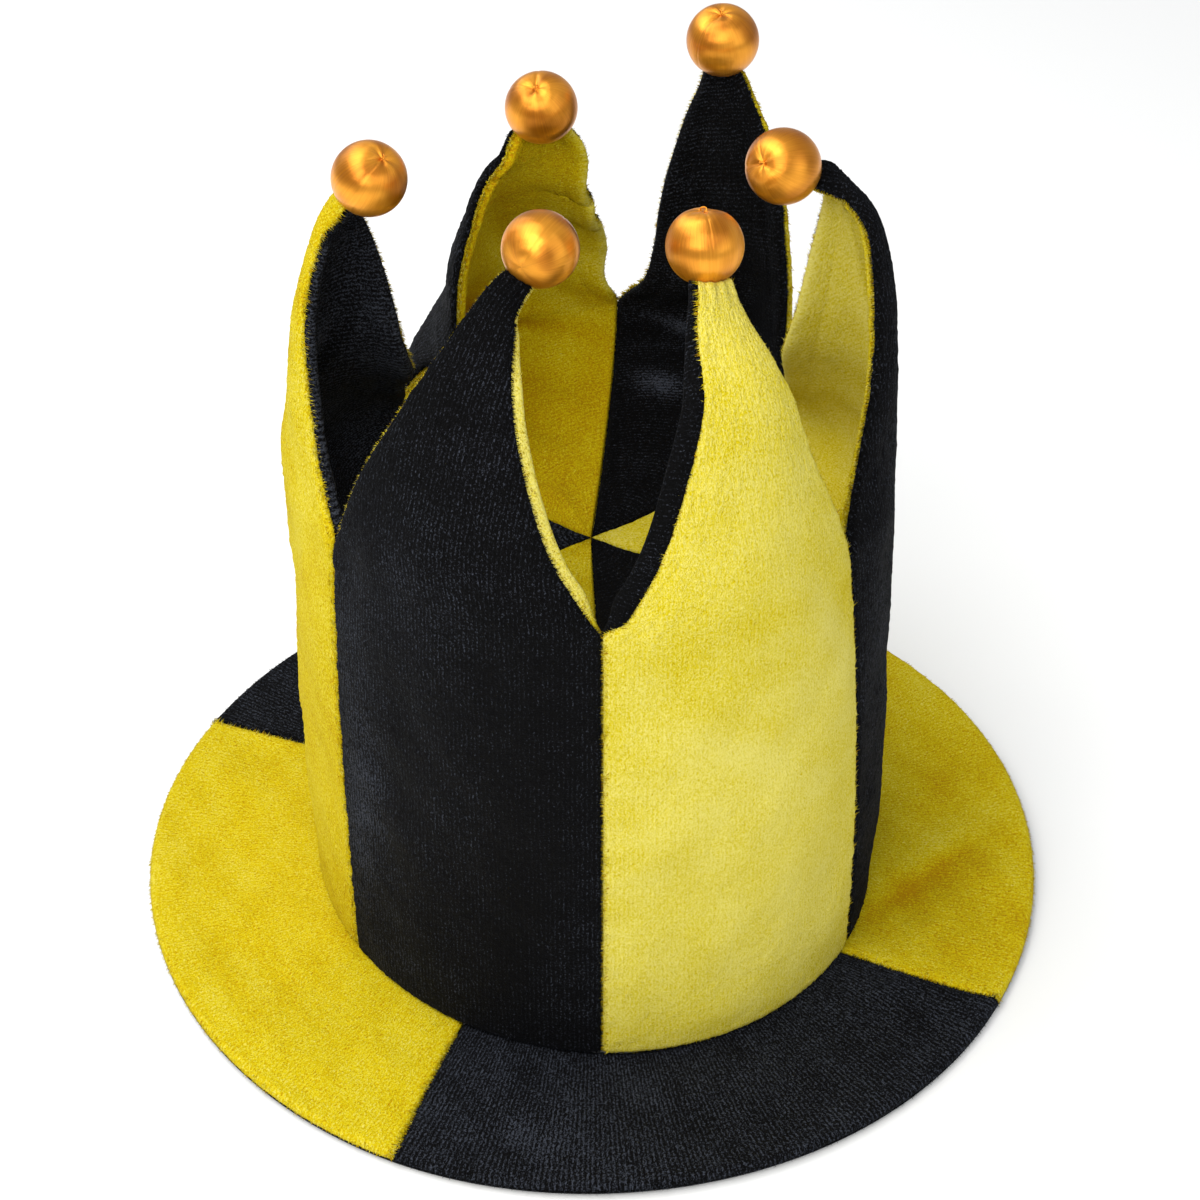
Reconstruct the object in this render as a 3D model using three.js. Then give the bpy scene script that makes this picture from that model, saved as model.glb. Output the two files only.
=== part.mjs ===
// Jester hat of short-pile plush in two colours. Six crown panels stand on a flat round brim, and each
// runs up into a leaf-shaped point that curls inwards and carries a thread-wrapped ball. Six padded
// lining gores in the other colour back the points and sink into a shallow cup between them. The brim
// is four top sections over one underside. The hat is open below, where the head goes in. Units are
// millimetres and degrees, +Z is up, and the origin is on the surface that the brim rests on, at the
// middle of the hat. Azimuth runs counterclockwise from +X, and the front of the hat faces -Y.
import * as THREE from "three";

// Driving dimensions
const CROWN_RADIUS = 98.5; // outside of the crown, the mean of its slight oval
const CROWN_OVAL = 3.6; // how far the oval's long and short half axes are from the mean
const CROWN_OVAL_AZIMUTH = -61; // where the long half axis points
const CROWN_SWELL = 1; // how far the crown swells out halfway up
const NOTCH_HEIGHT = 175; // from the resting surface to the notches between the points
const POINT_RISE = 93; // from the notches to the middle of the tips
const PANEL_THICKNESS = 2.2; // one layer of plush on its knit backing
const LINING_THICKNESS = 3.1; // plush over thin wadding
const CUP_DEPTH = 34; // from the notches down to the middle of the cup between the points
const CUP_EYE_RADIUS = 1.2; // where the six lining seams meet
const BRIM_RADIUS = 155;
const BRIM_LAYER = 2.4; // each of the brim's two layers
const BRIM_LIFT = 2.2; // how far the loose rim rises off the surface at its highest wave
const BRIM_REST_RADIUS = 122; // the brim lies flat as far out as this
const BALL_RADIUS = 11.25;
const BALL_DIMPLE = 1.1; // depth of the hollow where the thread ends are drawn in
const BALL_DIMPLE_SPREAD = 20; // its half width as an angle at the middle of the ball
const CLEARANCE = 0.3; // between pieces that are sewn together or rest on each other

// Where the cloth changes from one shape to the next, as shares of a point's length
const SECTION_SETTLES = 0.5; // up to here its sections turn from level to square to its middle line
const THICKNESS_SETTLES = 0.2; // up to here its thickness turns from level to square to the cloth
const FOLDS_SETTLE = 0.15; // up to here its folds grow to their full depth
const TIP_STARTS = 0.85; // from here its thickness turns into the section of the tip
const MEAN_WIDTH = 0.6; // mean width of a point as a share of its panel's

// Fineness of the faceted surfaces
const PANEL_COLUMNS = 8;
const CROWN_ROWS = 4;
const POINT_ROWS = 12;
const CUP_ROWS = 6;
const BRIM_FLAT_ROWS = 3;
const BRIM_EDGE_ROWS = 2;
const BRIM_SECTION_COLUMNS = 10;
const BALL_SEGMENTS = 14;
const BALL_ROWS = 8;
const SMALL_STEP = 2e-3; // for the slopes of a surface, as a share of a panel's width or height

const BLACK = 0x15161a;
const YELLOW = 0xe0cc2c;
const GOLD = 0xe39425;

// Turns the rows of a table into objects that carry the names of its columns.
function named(columns, rows) {
  return rows.map((row) => Object.fromEntries(columns.map((column, i) => [column, row[i]])));
}

// The seams between the crown's panels, counterclockwise from the left of the front. notch is the
// height of the notch above the seam as a share of NOTCH_HEIGHT, and pull is how far the lining draws
// the notch inwards as a share of CROWN_RADIUS.
const SEAMS = named(
  ["azimuth", "notch", "pull"],
  [
    [-147, 1.01, 0.015],
    [-88, 1.02, 0.03],
    [-30, 0.965, 0.09],
    [32, 0.95, 0.17],
    [84.5, 0.985, 0.05],
    [146, 0.935, 0.225],
  ],
);

// The panels, in step with SEAMS. lean is how far the middle of a panel leans in below its point, as a
// share of CROWN_RADIUS. The sections stand at even steps from the notches to the tip: rise is a share
// of POINT_RISE, inward and side are shares of CROWN_RADIUS (side counterclockwise), width is a share
// of the panel's own width, curl is a share of the angle that the panel spans round the crown, and
// turn twists the section about the point's middle line, in degrees.
const SECTION_COLUMNS = ["rise", "inward", "side", "width", "curl", "turn"];
const PANELS = [
  {
    place: "front_left",
    color: BLACK,
    lining: YELLOW,
    lean: 0,
    sections: named(SECTION_COLUMNS, [
      [0, 0, 0, 1, 1, 0],
      [0.22, 0.02, -0.025, 0.775, 0.95, 0],
      [0.46, 0.09, -0.025, 0.56, 0.9, 0],
      [0.7, 0.22, -0.02, 0.33, 0.8, 0],
      [0.88, 0.39, -0.01, 0.16, 0.7, 0],
      [0.96, 0.49, 0.02, 0.1, 0.6, 0],
    ]),
  },
  {
    place: "front_right",
    color: YELLOW,
    lining: BLACK,
    lean: 0,
    sections: named(SECTION_COLUMNS, [
      [0, 0, 0, 1, 1, 0],
      [0.22, 0.02, 0.01, 0.78, 0.95, 0],
      [0.46, 0.09, 0.02, 0.56, 0.9, 0],
      [0.72, 0.2, 0.045, 0.36, 0.8, 0],
      [0.9, 0.36, 0.06, 0.2, 0.7, 0],
      [1, 0.45, 0.08, 0.12, 0.6, 0],
    ]),
  },
  {
    place: "right",
    color: BLACK,
    lining: YELLOW,
    lean: 0,
    sections: named(SECTION_COLUMNS, [
      [0, 0, 0, 1, 1, 0],
      [0.25, 0.02, 0.025, 0.72, 1.6, 9],
      [0.5, 0.05, 0.04, 0.57, 2.3, 26],
      [0.75, 0.088, 0.05, 0.44, 2.3, 32],
      [1, 0.13, 0.04, 0.31, 2, 30],
      [1.12, 0.2, 0.02, 0.19, 1.3, 20],
      [1.165, 0.29, 0, 0.11, 0.8, 10],
    ]),
  },
  {
    place: "back_right",
    color: YELLOW,
    lining: BLACK,
    lean: 0.015,
    sections: named(SECTION_COLUMNS, [
      [0, 0, 0, 1, 1, 0],
      [0.15, 0.01, -0.015, 0.8, 1, 0],
      [0.31, 0.03, -0.02, 0.71, 1, 0],
      [0.48, 0.06, -0.02, 0.64, 1, 0],
      [0.71, 0.09, -0.02, 0.52, 0.9, 0],
      [0.93, 0.12, -0.01, 0.34, 0.7, 0],
      [1.11, 0.14, 0, 0.15, 0.6, 0],
    ]),
  },
  {
    place: "back_left",
    color: BLACK,
    lining: YELLOW,
    lean: 0.06,
    sections: named(SECTION_COLUMNS, [
      [0, 0, 0, 1, 1, 0],
      [0.16, 0.02, -0.005, 0.87, 1.5, 6],
      [0.344, 0.1, 0.01, 0.88, 1.9, 15],
      [0.554, 0.205, 0.012, 0.77, 2, 18],
      [0.748, 0.313, -0.028, 0.58, 1.8, 15],
      [0.894, 0.39, -0.075, 0.38, 1.4, 8],
      [0.988, 0.43, -0.077, 0.16, 0.6, 0],
    ]),
  },
  {
    place: "left",
    color: YELLOW,
    lining: BLACK,
    lean: 0,
    sections: named(SECTION_COLUMNS, [
      [0, 0, 0, 1, 1, 0],
      [0.224, 0.01, -0.025, 0.76, 1.6, -8],
      [0.444, 0.05, -0.05, 0.6, 2.3, -27],
      [0.644, 0.09, -0.06, 0.49, 2.25, -34],
      [0.844, 0.13, -0.05, 0.355, 1.85, -31],
      [0.984, 0.17, -0.03, 0.21, 1.3, -20],
      [1.06, 0.23, 0, 0.11, 0.8, -10],
    ]),
  },
];

// The larger dents and folds pressed into the points, shared by each panel and its lining. across runs
// from -1 to 1 between the point's two edges and up from 0 at the notches to 1 at the tip; long and
// wide are half lengths and depth is how far the cloth is pressed in, all shares of CROWN_RADIUS; lean
// is the fold's angle in degrees, counterclockwise from level as seen from outside.
const FOLDS = named(
  ["place", "across", "up", "long", "wide", "lean", "depth"],
  [
    ["back_left", -0.2, 0.3, 0.34, 0.13, 38, 0.035],
    ["back_right", 0.35, 0.25, 0.32, 0.13, -42, 0.035],
    ["left", -0.3, 0.35, 0.3, 0.13, -35, 0.025],
    ["right", 0.25, 0.4, 0.3, 0.13, 40, 0.02],
    ["front_left", 0.1, 0.5, 0.36, 0.16, 50, 0.015],
    ["front_right", -0.1, 0.45, 0.36, 0.16, -50, 0.015],
  ],
);

// The brim's top sections, each from its own seam counterclockwise to the next one's.
const BRIM_SECTIONS = named(
  ["place", "azimuth", "color"],
  [
    ["left", -206.4, YELLOW],
    ["front", -115, BLACK],
    ["right", -30.5, YELLOW],
    ["back", 61.5, BLACK],
  ],
);
const BRIM_SEAM_SWEEP = 2.8; // how many degrees each of those seams runs round on its way to the rim

// The waves of the rim. spread is a half width in degrees, and lift is a share of BRIM_LIFT.
const BRIM_WAVES = named(
  ["azimuth", "spread", "lift"],
  [
    [12, 30, 1],
    [100, 36, 0.8],
    [196, 34, 0.9],
    [-78, 30, 0.4],
  ],
);

const UP = new THREE.Vector3(0, 0, 1);
const BRIM_THICKNESS = 2 * BRIM_LAYER + CLEARANCE;
const CROWN_BASE = BRIM_THICKNESS + CLEARANCE;
const LINING_OUTSIDE = PANEL_THICKNESS + CLEARANCE;
const LINING_INSIDE = LINING_OUTSIDE + LINING_THICKNESS;

const radians = THREE.MathUtils.degToRad;
const outwards = (azimuth) => new THREE.Vector3(Math.cos(radians(azimuth)), Math.sin(radians(azimuth)), 0);
const sideways = (azimuth) => outwards(azimuth + 90);

PANELS.forEach((panel, i) => {
  const next = (i + 1) % SEAMS.length;
  panel.from = SEAMS[i];
  panel.to = SEAMS[next];
  panel.span = panel.to.azimuth - panel.from.azimuth + (next === 0 ? 360 : 0);
  panel.azimuth = panel.from.azimuth + panel.span / 2;
  panel.folds = FOLDS.filter((fold) => fold.place === panel.place);
});

// Outer radius of the crown at its foot, an oval.
function crownRadius(azimuth) {
  return CROWN_RADIUS + CROWN_OVAL * Math.cos(2 * radians(azimuth - CROWN_OVAL_AZIMUTH));
}

// A smooth curve through a table's column at even steps of the share, level at the first row where asked.
function glide(rows, column, share, levelStart) {
  const last = rows.length - 1;
  const value = (i) => rows[i][column];
  const slope = (i) => {
    if (i === 0) return levelStart ? 0 : value(1) - value(0);
    if (i === last) return value(last) - value(last - 1);
    return (value(i + 1) - value(i - 1)) / 2;
  };
  const place = THREE.MathUtils.clamp(share, 0, 1) * last;
  const i = Math.min(Math.floor(place), last - 1);
  const u = place - i;
  return (
    (2 * u ** 3 - 3 * u ** 2 + 1) * value(i) +
    (u ** 3 - 2 * u ** 2 + u) * slope(i) +
    (3 * u ** 2 - 2 * u ** 3) * value(i + 1) +
    (u ** 3 - u ** 2) * slope(i + 1)
  );
}

// Height of the notch line over a panel, from one seam's notch to the other's.
function notchHeight(panel, across) {
  return NOTCH_HEIGHT * THREE.MathUtils.lerp(panel.from.notch, panel.to.notch, (across + 1) / 2);
}

// A point of the crown's outside: across from -1 to 1 between the panel's seams, up from 0 at the foot
// to 1 at the notch line. The wall swells halfway up, and the seams are drawn in towards the notches.
function crownPoint(panel, across, up) {
  const azimuth = panel.azimuth + (panel.span / 2) * across;
  const seam = across < 0 ? panel.from : panel.to;
  const pull = CROWN_RADIUS * seam.pull * across ** 2 * up ** 2;
  const lean = CROWN_RADIUS * panel.lean * (1 - across ** 2) * up ** 3;
  const radius = crownRadius(azimuth) + CROWN_SWELL * Math.sin(Math.PI * up) - pull - lean;
  const height = THREE.MathUtils.lerp(CROWN_BASE, notchHeight(panel, across), up);
  return outwards(azimuth).multiplyScalar(radius).setZ(height);
}

// The middle line of a point, from the notch line at 0 to the tip at 1.
function middleLine(panel, up) {
  const inward = CROWN_RADIUS * glide(panel.sections, "inward", up, true);
  const side = CROWN_RADIUS * glide(panel.sections, "side", up, true);
  const rise = POINT_RISE * glide(panel.sections, "rise", up, false);
  return outwards(panel.azimuth)
    .multiplyScalar(crownRadius(panel.azimuth) - inward)
    .addScaledVector(sideways(panel.azimuth), side)
    .setZ(notchHeight(panel, 0) + rise);
}

// The frame of a point's section: its middle, the way along the point, and the ways inwards and
// sideways in the section. The section starts level at the notch line and comes square to the middle
// line by halfway up.
function sectionFrame(panel, up) {
  const middle = middleLine(panel, up);
  const heading = middleLine(panel, Math.min(up + SMALL_STEP, 1))
    .sub(middleLine(panel, Math.max(up - SMALL_STEP, 0)))
    .normalize();
  const along = UP.clone()
    .lerp(heading, THREE.MathUtils.smoothstep(up, 0, SECTION_SETTLES))
    .normalize();
  const inward = outwards(panel.azimuth).negate();
  inward.addScaledVector(along, -inward.dot(along)).normalize();
  const side = new THREE.Vector3().crossVectors(inward, along);
  const turn = radians(glide(panel.sections, "turn", up, true));
  return {
    middle,
    along,
    side: side.clone().multiplyScalar(Math.cos(turn)).addScaledVector(inward, Math.sin(turn)),
    inward: inward.clone().multiplyScalar(Math.cos(turn)).addScaledVector(side, -Math.sin(turn)),
  };
}

// A point of a leaf-shaped point's outside. Each section is an arc that is bent round the inward way,
// and near the notch line the arc gives way to the crown's own outline.
function leafPoint(panel, across, up) {
  const halfSpan = radians(panel.span / 2);
  const radius = crownRadius(panel.azimuth);
  const frame = sectionFrame(panel, up);
  const halfWidth = radius * halfSpan * glide(panel.sections, "width", up, false);
  const halfAngle = halfSpan * glide(panel.sections, "curl", up, false);
  const bend = halfWidth / halfAngle;
  const angle = halfAngle * across;
  const onArc = frame.middle
    .clone()
    .addScaledVector(frame.side, bend * Math.sin(angle))
    .addScaledVector(frame.inward, bend * (1 - Math.cos(angle)));
  const onCircle = outwards(panel.azimuth + (panel.span / 2) * across)
    .multiplyScalar(radius)
    .setZ(notchHeight(panel, 0));
  return onArc.addScaledVector(crownPoint(panel, across, 1).sub(onCircle), (1 - up) ** 2);
}

// How far the folds press a panel in: a sum of long smooth hollows.
function foldDepth(panel, across, up) {
  const halfWidth = radians(panel.span / 2) * CROWN_RADIUS;
  return panel.folds.reduce((sum, fold) => {
    const x = (across - fold.across) * halfWidth * MEAN_WIDTH;
    const y = (up - fold.up) * POINT_RISE;
    const lean = radians(fold.lean);
    const length = (x * Math.cos(lean) + y * Math.sin(lean)) / (fold.long * CROWN_RADIUS);
    const width = (y * Math.cos(lean) - x * Math.sin(lean)) / (fold.wide * CROWN_RADIUS);
    return sum + fold.depth * CROWN_RADIUS * Math.exp(-(length ** 2) - width ** 2);
  }, 0);
}

// The outside of a panel from the crown's foot at 0 over the notch line at 1 to the tip at 2.
const smoothPoint = (panel, across, up) =>
  up <= 1 ? crownPoint(panel, across, up) : leafPoint(panel, across, up - 1);

// The ways sideways and inwards at the smooth outside of a panel, by small steps that stay on it.
// Inwards is level and square to the crown's axis up to the notch line, so that neighbours meet along
// their whole seam. It is square to the cloth above that, and lies in the tip's own section at the tip.
function surfaceFrame(panel, across, up) {
  const left = Math.max(across - SMALL_STEP, -1);
  const right = Math.min(across + SMALL_STEP, 1);
  const low = Math.max(up - SMALL_STEP, 0);
  const high = Math.min(up + SMALL_STEP, 2);
  const side = smoothPoint(panel, right, up).sub(smoothPoint(panel, left, up)).normalize();
  const rise = smoothPoint(panel, across, high).sub(smoothPoint(panel, across, low)).normalize();
  const square = new THREE.Vector3().crossVectors(rise, side).normalize();
  const { along } = sectionFrame(panel, Math.max(up - 1, 0));
  const atTip = square.clone().addScaledVector(along, -square.dot(along)).normalize();
  const inward = outwards(panel.azimuth + (panel.span / 2) * across)
    .negate()
    .lerp(square, THREE.MathUtils.smoothstep(up, 1, 1 + THICKNESS_SETTLES))
    .lerp(atTip, THREE.MathUtils.smoothstep(up, 1 + TIP_STARTS, 2))
    .normalize();
  return { side, inward };
}

// A point at a depth under the outside of a panel, folds included, kept half a clearance back from its
// seams.
function clothPoint(panel, across, up, depth) {
  const { side, inward } = surfaceFrame(panel, across, up);
  const fold = foldDepth(panel, across, up - 1) * THREE.MathUtils.smoothstep(up, 1, 1 + FOLDS_SETTLE);
  return smoothPoint(panel, across, up)
    .addScaledVector(inward, depth + fold)
    .addScaledVector(side, (-across * CLEARANCE) / 2);
}

// A point of the cup that the lining makes between the points: a quarter ellipse from the notch line,
// at 0, down and in to the eye, at 1, where the six seams meet. depth is measured from the panel's
// outside.
function cupPoint(panel, across, sink, depth) {
  const rim = clothPoint(panel, across, 1, depth);
  const radius = Math.hypot(rim.x, rim.y);
  const floor = NOTCH_HEIGHT - CUP_DEPTH - (LINING_INSIDE - depth);
  const angle = sink * Math.acos(CUP_EYE_RADIUS / radius);
  const seam = outwards(panel.azimuth + (panel.span / 2) * across);
  const trim = new THREE.Vector3(-seam.y, seam.x, 0).multiplyScalar((-across * CLEARANCE) / 2);
  return new THREE.Vector3(rim.x, rim.y, 0)
    .sub(trim)
    .multiplyScalar(Math.cos(angle))
    .add(trim)
    .setZ(THREE.MathUtils.lerp(rim.z, floor, Math.sin(angle)));
}

// A closed shell between two surfaces that are given as functions of a column and a row. round joins
// the last column to the first. The first surface is the one that faces out.
function shell(outer, inner, columns, rows, round = false) {
  const across = round ? columns : columns + 1;
  const positions = [];
  const triangles = [];
  for (const surface of [outer, inner]) {
    for (let row = 0; row <= rows; row++) {
      for (let column = 0; column < across; column++) {
        positions.push(...surface(column / columns, row / rows));
      }
    }
  }
  const at = (side, column, row) => side * across * (rows + 1) + row * across + (column % across);
  const quad = (a, b, c, d) => triangles.push(a, b, c, a, c, d);
  for (let row = 0; row < rows; row++) {
    for (let column = 0; column < columns; column++) {
      quad(at(0, column, row), at(0, column + 1, row), at(0, column + 1, row + 1), at(0, column, row + 1));
      quad(at(1, column, row), at(1, column, row + 1), at(1, column + 1, row + 1), at(1, column + 1, row));
    }
  }
  for (let column = 0; column < columns; column++) {
    quad(at(0, column, 0), at(1, column, 0), at(1, column + 1, 0), at(0, column + 1, 0));
    quad(at(0, column, rows), at(0, column + 1, rows), at(1, column + 1, rows), at(1, column, rows));
  }
  for (let row = 0; row < rows && !round; row++) {
    quad(at(0, 0, row), at(0, 0, row + 1), at(1, 0, row + 1), at(1, 0, row));
    quad(at(0, columns, row), at(1, columns, row), at(1, columns, row + 1), at(0, columns, row + 1));
  }
  const geometry = new THREE.BufferGeometry();
  geometry.setAttribute("position", new THREE.Float32BufferAttribute(positions, 3));
  geometry.setIndex(triangles);
  geometry.computeVertexNormals();
  return geometry;
}

// A panel from the crown's foot to the tip of its point, as thick as one layer of plush.
function panelGeometry(panel) {
  const rows = CROWN_ROWS + POINT_ROWS;
  const up = (v) => {
    const row = v * rows;
    return row <= CROWN_ROWS ? row / CROWN_ROWS : 1 + (row - CROWN_ROWS) / POINT_ROWS;
  };
  const surface = (depth) => (u, v) => clothPoint(panel, 2 * u - 1, up(v), depth);
  return shell(surface(0), surface(PANEL_THICKNESS), PANEL_COLUMNS, rows);
}

// A lining gore from the eye of the cup, up over the notch line and inside the point to its tip.
function goreGeometry(panel) {
  const rows = CUP_ROWS + POINT_ROWS;
  const surface = (depth) => (u, v) =>
    v * rows < CUP_ROWS
      ? cupPoint(panel, 2 * u - 1, 1 - (v * rows) / CUP_ROWS, depth)
      : clothPoint(panel, 2 * u - 1, 1 + (v * rows - CUP_ROWS) / POINT_ROWS, depth);
  return shell(surface(LINING_OUTSIDE), surface(LINING_INSIDE), PANEL_COLUMNS, rows);
}

// How far the brim is lifted at a place by the waves of its rim. Nothing lifts inside BRIM_REST_RADIUS.
function brimLift(azimuth, radius) {
  const share = THREE.MathUtils.smoothstep(radius, BRIM_REST_RADIUS, BRIM_RADIUS);
  const waves = BRIM_WAVES.map((wave) => {
    const apart = THREE.MathUtils.euclideanModulo(azimuth - wave.azimuth + 180, 360) - 180;
    return wave.lift * Math.exp(-((apart / wave.spread) ** 2));
  });
  return BRIM_LIFT * share * Math.max(...waves);
}

// One face of a brim layer: level from the head opening outwards, and rounded at the rim where edge is
// given. level is the face's height, and edge is how far the rounding carries it up or down.
function brimPoint(azimuth, share, level, edge) {
  const opening = crownRadius(azimuth) - PANEL_THICKNESS;
  const flat = BRIM_FLAT_ROWS / (BRIM_FLAT_ROWS + BRIM_EDGE_ROWS);
  const shoulder = BRIM_RADIUS - BRIM_LAYER;
  const angle = (Math.PI / 2) * Math.max(0, (share - flat) / (1 - flat));
  const reach = edge ? BRIM_LAYER * Math.sin(angle) : (BRIM_LAYER / 2) * Math.sin(angle);
  const radius = THREE.MathUtils.lerp(opening, shoulder, Math.min(1, share / flat)) + reach;
  const height = level + edge * (1 - Math.cos(angle)) + brimLift(azimuth, radius);
  return outwards(azimuth).multiplyScalar(radius).setZ(height);
}

// One of the brim's top sections between two swept seams, half a clearance back from each.
function brimSectionGeometry(section, next) {
  const azimuth = (u, v) => {
    const radius = THREE.MathUtils.lerp(CROWN_RADIUS, BRIM_RADIUS, v);
    const trim = THREE.MathUtils.radToDeg(CLEARANCE / 2 / radius);
    const sweep = BRIM_SEAM_SWEEP * (v - 0.5);
    return THREE.MathUtils.lerp(section.azimuth + trim, next - trim, u) + sweep;
  };
  const face = (level, edge) => (u, v) => brimPoint(azimuth(u, v), v, level, edge);
  return shell(
    (u, v) => face(BRIM_THICKNESS, -BRIM_LAYER)(1 - u, v),
    (u, v) => face(BRIM_THICKNESS - BRIM_LAYER, 0)(1 - u, v),
    BRIM_SECTION_COLUMNS,
    BRIM_FLAT_ROWS + BRIM_EDGE_ROWS,
  );
}

// The brim's underside, one ring that rests on the surface.
function brimUndersideGeometry() {
  const face = (level, edge) => (u, v) => brimPoint(360 * u, v, level, edge);
  return shell(
    face(0, BRIM_LAYER),
    face(BRIM_LAYER, 0),
    BRIM_SECTION_COLUMNS * BRIM_SECTIONS.length,
    BRIM_FLAT_ROWS + BRIM_EDGE_ROWS,
    true,
  );
}

// A ball about +Y, with the hollow where its thread is drawn in at the far pole.
function ballGeometry() {
  const profile = Array.from({ length: BALL_ROWS + 1 }, (unused, i) => {
    const angle = (Math.PI * i) / BALL_ROWS;
    const dimple = BALL_DIMPLE * Math.exp(-(((Math.PI - angle) / radians(BALL_DIMPLE_SPREAD)) ** 2));
    const radius = BALL_RADIUS - dimple;
    const rim = i === 0 || i === BALL_ROWS ? 0 : radius * Math.sin(angle);
    return new THREE.Vector2(rim, -radius * Math.cos(angle));
  });
  return new THREE.LatheGeometry(profile, BALL_SEGMENTS);
}

function plush(color) {
  return new THREE.MeshStandardMaterial({ color, roughness: 0.9, metalness: 0 });
}

function mesh(name, geometry, material) {
  const made = new THREE.Mesh(geometry, material);
  made.name = name;
  return made;
}

// A ball sewn to the end of a point, square to the point's end and on the middle of its thickness.
function ballOn(panel) {
  const { middle, along, inward } = sectionFrame(panel, 1);
  const ball = mesh(
    `ball_${panel.place}`,
    ballGeometry(),
    new THREE.MeshStandardMaterial({ color: GOLD, roughness: 0.35, metalness: 0 }),
  );
  ball.quaternion.setFromUnitVectors(new THREE.Vector3(0, 1, 0), along);
  ball.position
    .copy(middle)
    .addScaledVector(inward, LINING_INSIDE / 2)
    .addScaledVector(along, BALL_RADIUS + CLEARANCE);
  return ball;
}

const crown = new THREE.Group();
for (const panel of PANELS) {
  crown.add(mesh(`crown_panel_${panel.place}`, panelGeometry(panel), plush(panel.color)));
  crown.add(mesh(`lining_gore_${panel.place}`, goreGeometry(panel), plush(panel.lining)));
  crown.add(ballOn(panel));
}

const brim = new THREE.Group();
BRIM_SECTIONS.forEach((section, i) => {
  const follower = BRIM_SECTIONS[(i + 1) % BRIM_SECTIONS.length];
  const next = follower.azimuth + (follower === BRIM_SECTIONS[0] ? 360 : 0);
  const geometry = brimSectionGeometry(section, next);
  brim.add(mesh(`brim_top_${section.place}`, geometry, plush(section.color)));
});
brim.add(mesh("brim_underside", brimUndersideGeometry(), plush(BLACK)));

const hat = new THREE.Group();
hat.add(brim, crown);
export default hat;
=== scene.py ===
import bpy
import numpy as np
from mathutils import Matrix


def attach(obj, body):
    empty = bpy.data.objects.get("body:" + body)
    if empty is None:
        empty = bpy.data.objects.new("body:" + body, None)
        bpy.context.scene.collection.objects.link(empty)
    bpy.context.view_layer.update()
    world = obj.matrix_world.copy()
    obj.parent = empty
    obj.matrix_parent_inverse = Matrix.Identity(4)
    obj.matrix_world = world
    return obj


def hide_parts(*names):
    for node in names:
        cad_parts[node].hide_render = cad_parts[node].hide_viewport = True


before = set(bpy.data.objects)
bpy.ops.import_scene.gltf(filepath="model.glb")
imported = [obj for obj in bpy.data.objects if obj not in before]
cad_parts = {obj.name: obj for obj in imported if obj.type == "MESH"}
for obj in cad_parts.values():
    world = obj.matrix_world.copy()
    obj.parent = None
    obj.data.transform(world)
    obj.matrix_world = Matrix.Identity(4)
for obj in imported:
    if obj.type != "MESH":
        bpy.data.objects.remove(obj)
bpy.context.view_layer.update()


# The view
# The hat stands on a plain pale floor. A large soft lamp high in front, a little to the left, is the
# main light, with weaker ones on the right, overhead and behind, and a pale sky, as in a studio.
MM = 0.001
AIM = (2.8, 0.0, 114.9)
CAMERA_DISTANCE = 930
CAMERA_ELEVATION = 38.81
CAMERA_LENS = 84.81
LAMPS = (
    # name, azimuth, elevation, distance in mm, side in mm, watts, colour
    ("key_softbox", -114, 46, 1500, 1200, 19.5, (1.0, 0.99, 0.97)),
    ("fill_softbox", -35, 30, 1700, 1300, 6, (0.95, 0.97, 1.0)),
    ("top_softbox", 170, 62, 1500, 1100, 13.5, (1.0, 1.0, 1.0)),
    ("back_softbox", 130, 30, 1700, 900, 4, (1.0, 1.0, 1.0)),
)
SKY_COLOUR = (0.93, 0.95, 1.0, 1)
SKY_STRENGTH = 0.45
FLOOR_SIDE = 12.0


def towards(azimuth, elevation):
    """The unit vector at an azimuth and an elevation, both in degrees."""
    a, e = np.radians(azimuth), np.radians(elevation)
    return np.array([np.cos(a) * np.cos(e), np.sin(a) * np.cos(e), np.sin(e)])


def linear(hex_colour):
    """An sRGB hex colour as linear red, green, blue and full alpha."""
    value = np.array([int(hex_colour[i : i + 2], 16) for i in (1, 3, 5)]) / 255
    curved = ((value + 0.055) / 1.055) ** 2.4
    return (*np.where(value <= 0.04045, value / 12.92, curved).tolist(), 1.0)


def add_node(tree, kind, inputs=None, **settings):
    """Adds a node of a kind, sets its properties, and gives each named input its value or link."""
    made = tree.nodes.new(kind)
    for name, value in settings.items():
        setattr(made, name, value)
    for name, value in (inputs or {}).items():
        if isinstance(value, bpy.types.NodeSocket):
            tree.links.new(value, made.inputs[name])
        else:
            made.inputs[name].default_value = value
    return made


scene = bpy.context.scene
scene.view_settings.view_transform = "Standard"

camera = bpy.data.objects.new("camera", bpy.data.cameras.new("camera"))
camera.data.lens = CAMERA_LENS
camera.data.sensor_width = 36
camera.location = (np.array(AIM) + CAMERA_DISTANCE * towards(-90, CAMERA_ELEVATION)) * MM
camera.rotation_euler = (np.radians(90 - CAMERA_ELEVATION), 0, 0)
scene.collection.objects.link(camera)
scene.camera = camera

for name, azimuth, elevation, distance, side, watts, colour in LAMPS:
    lamp = bpy.data.objects.new(name, bpy.data.lights.new(name, "AREA"))
    lamp.data.shape = "SQUARE"
    lamp.data.size = side * MM
    lamp.data.energy = watts
    lamp.data.color = colour
    from_hat = towards(azimuth, elevation)
    lamp.location = (np.array(AIM) + distance * from_hat) * MM
    lamp.rotation_euler = (np.radians(90 - elevation), 0, np.radians(azimuth + 90))
    scene.collection.objects.link(lamp)

world = bpy.data.worlds.new("studio")
world.use_nodes = True
world.node_tree.nodes["Background"].inputs["Color"].default_value = SKY_COLOUR
world.node_tree.nodes["Background"].inputs["Strength"].default_value = SKY_STRENGTH
scene.world = world

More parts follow.
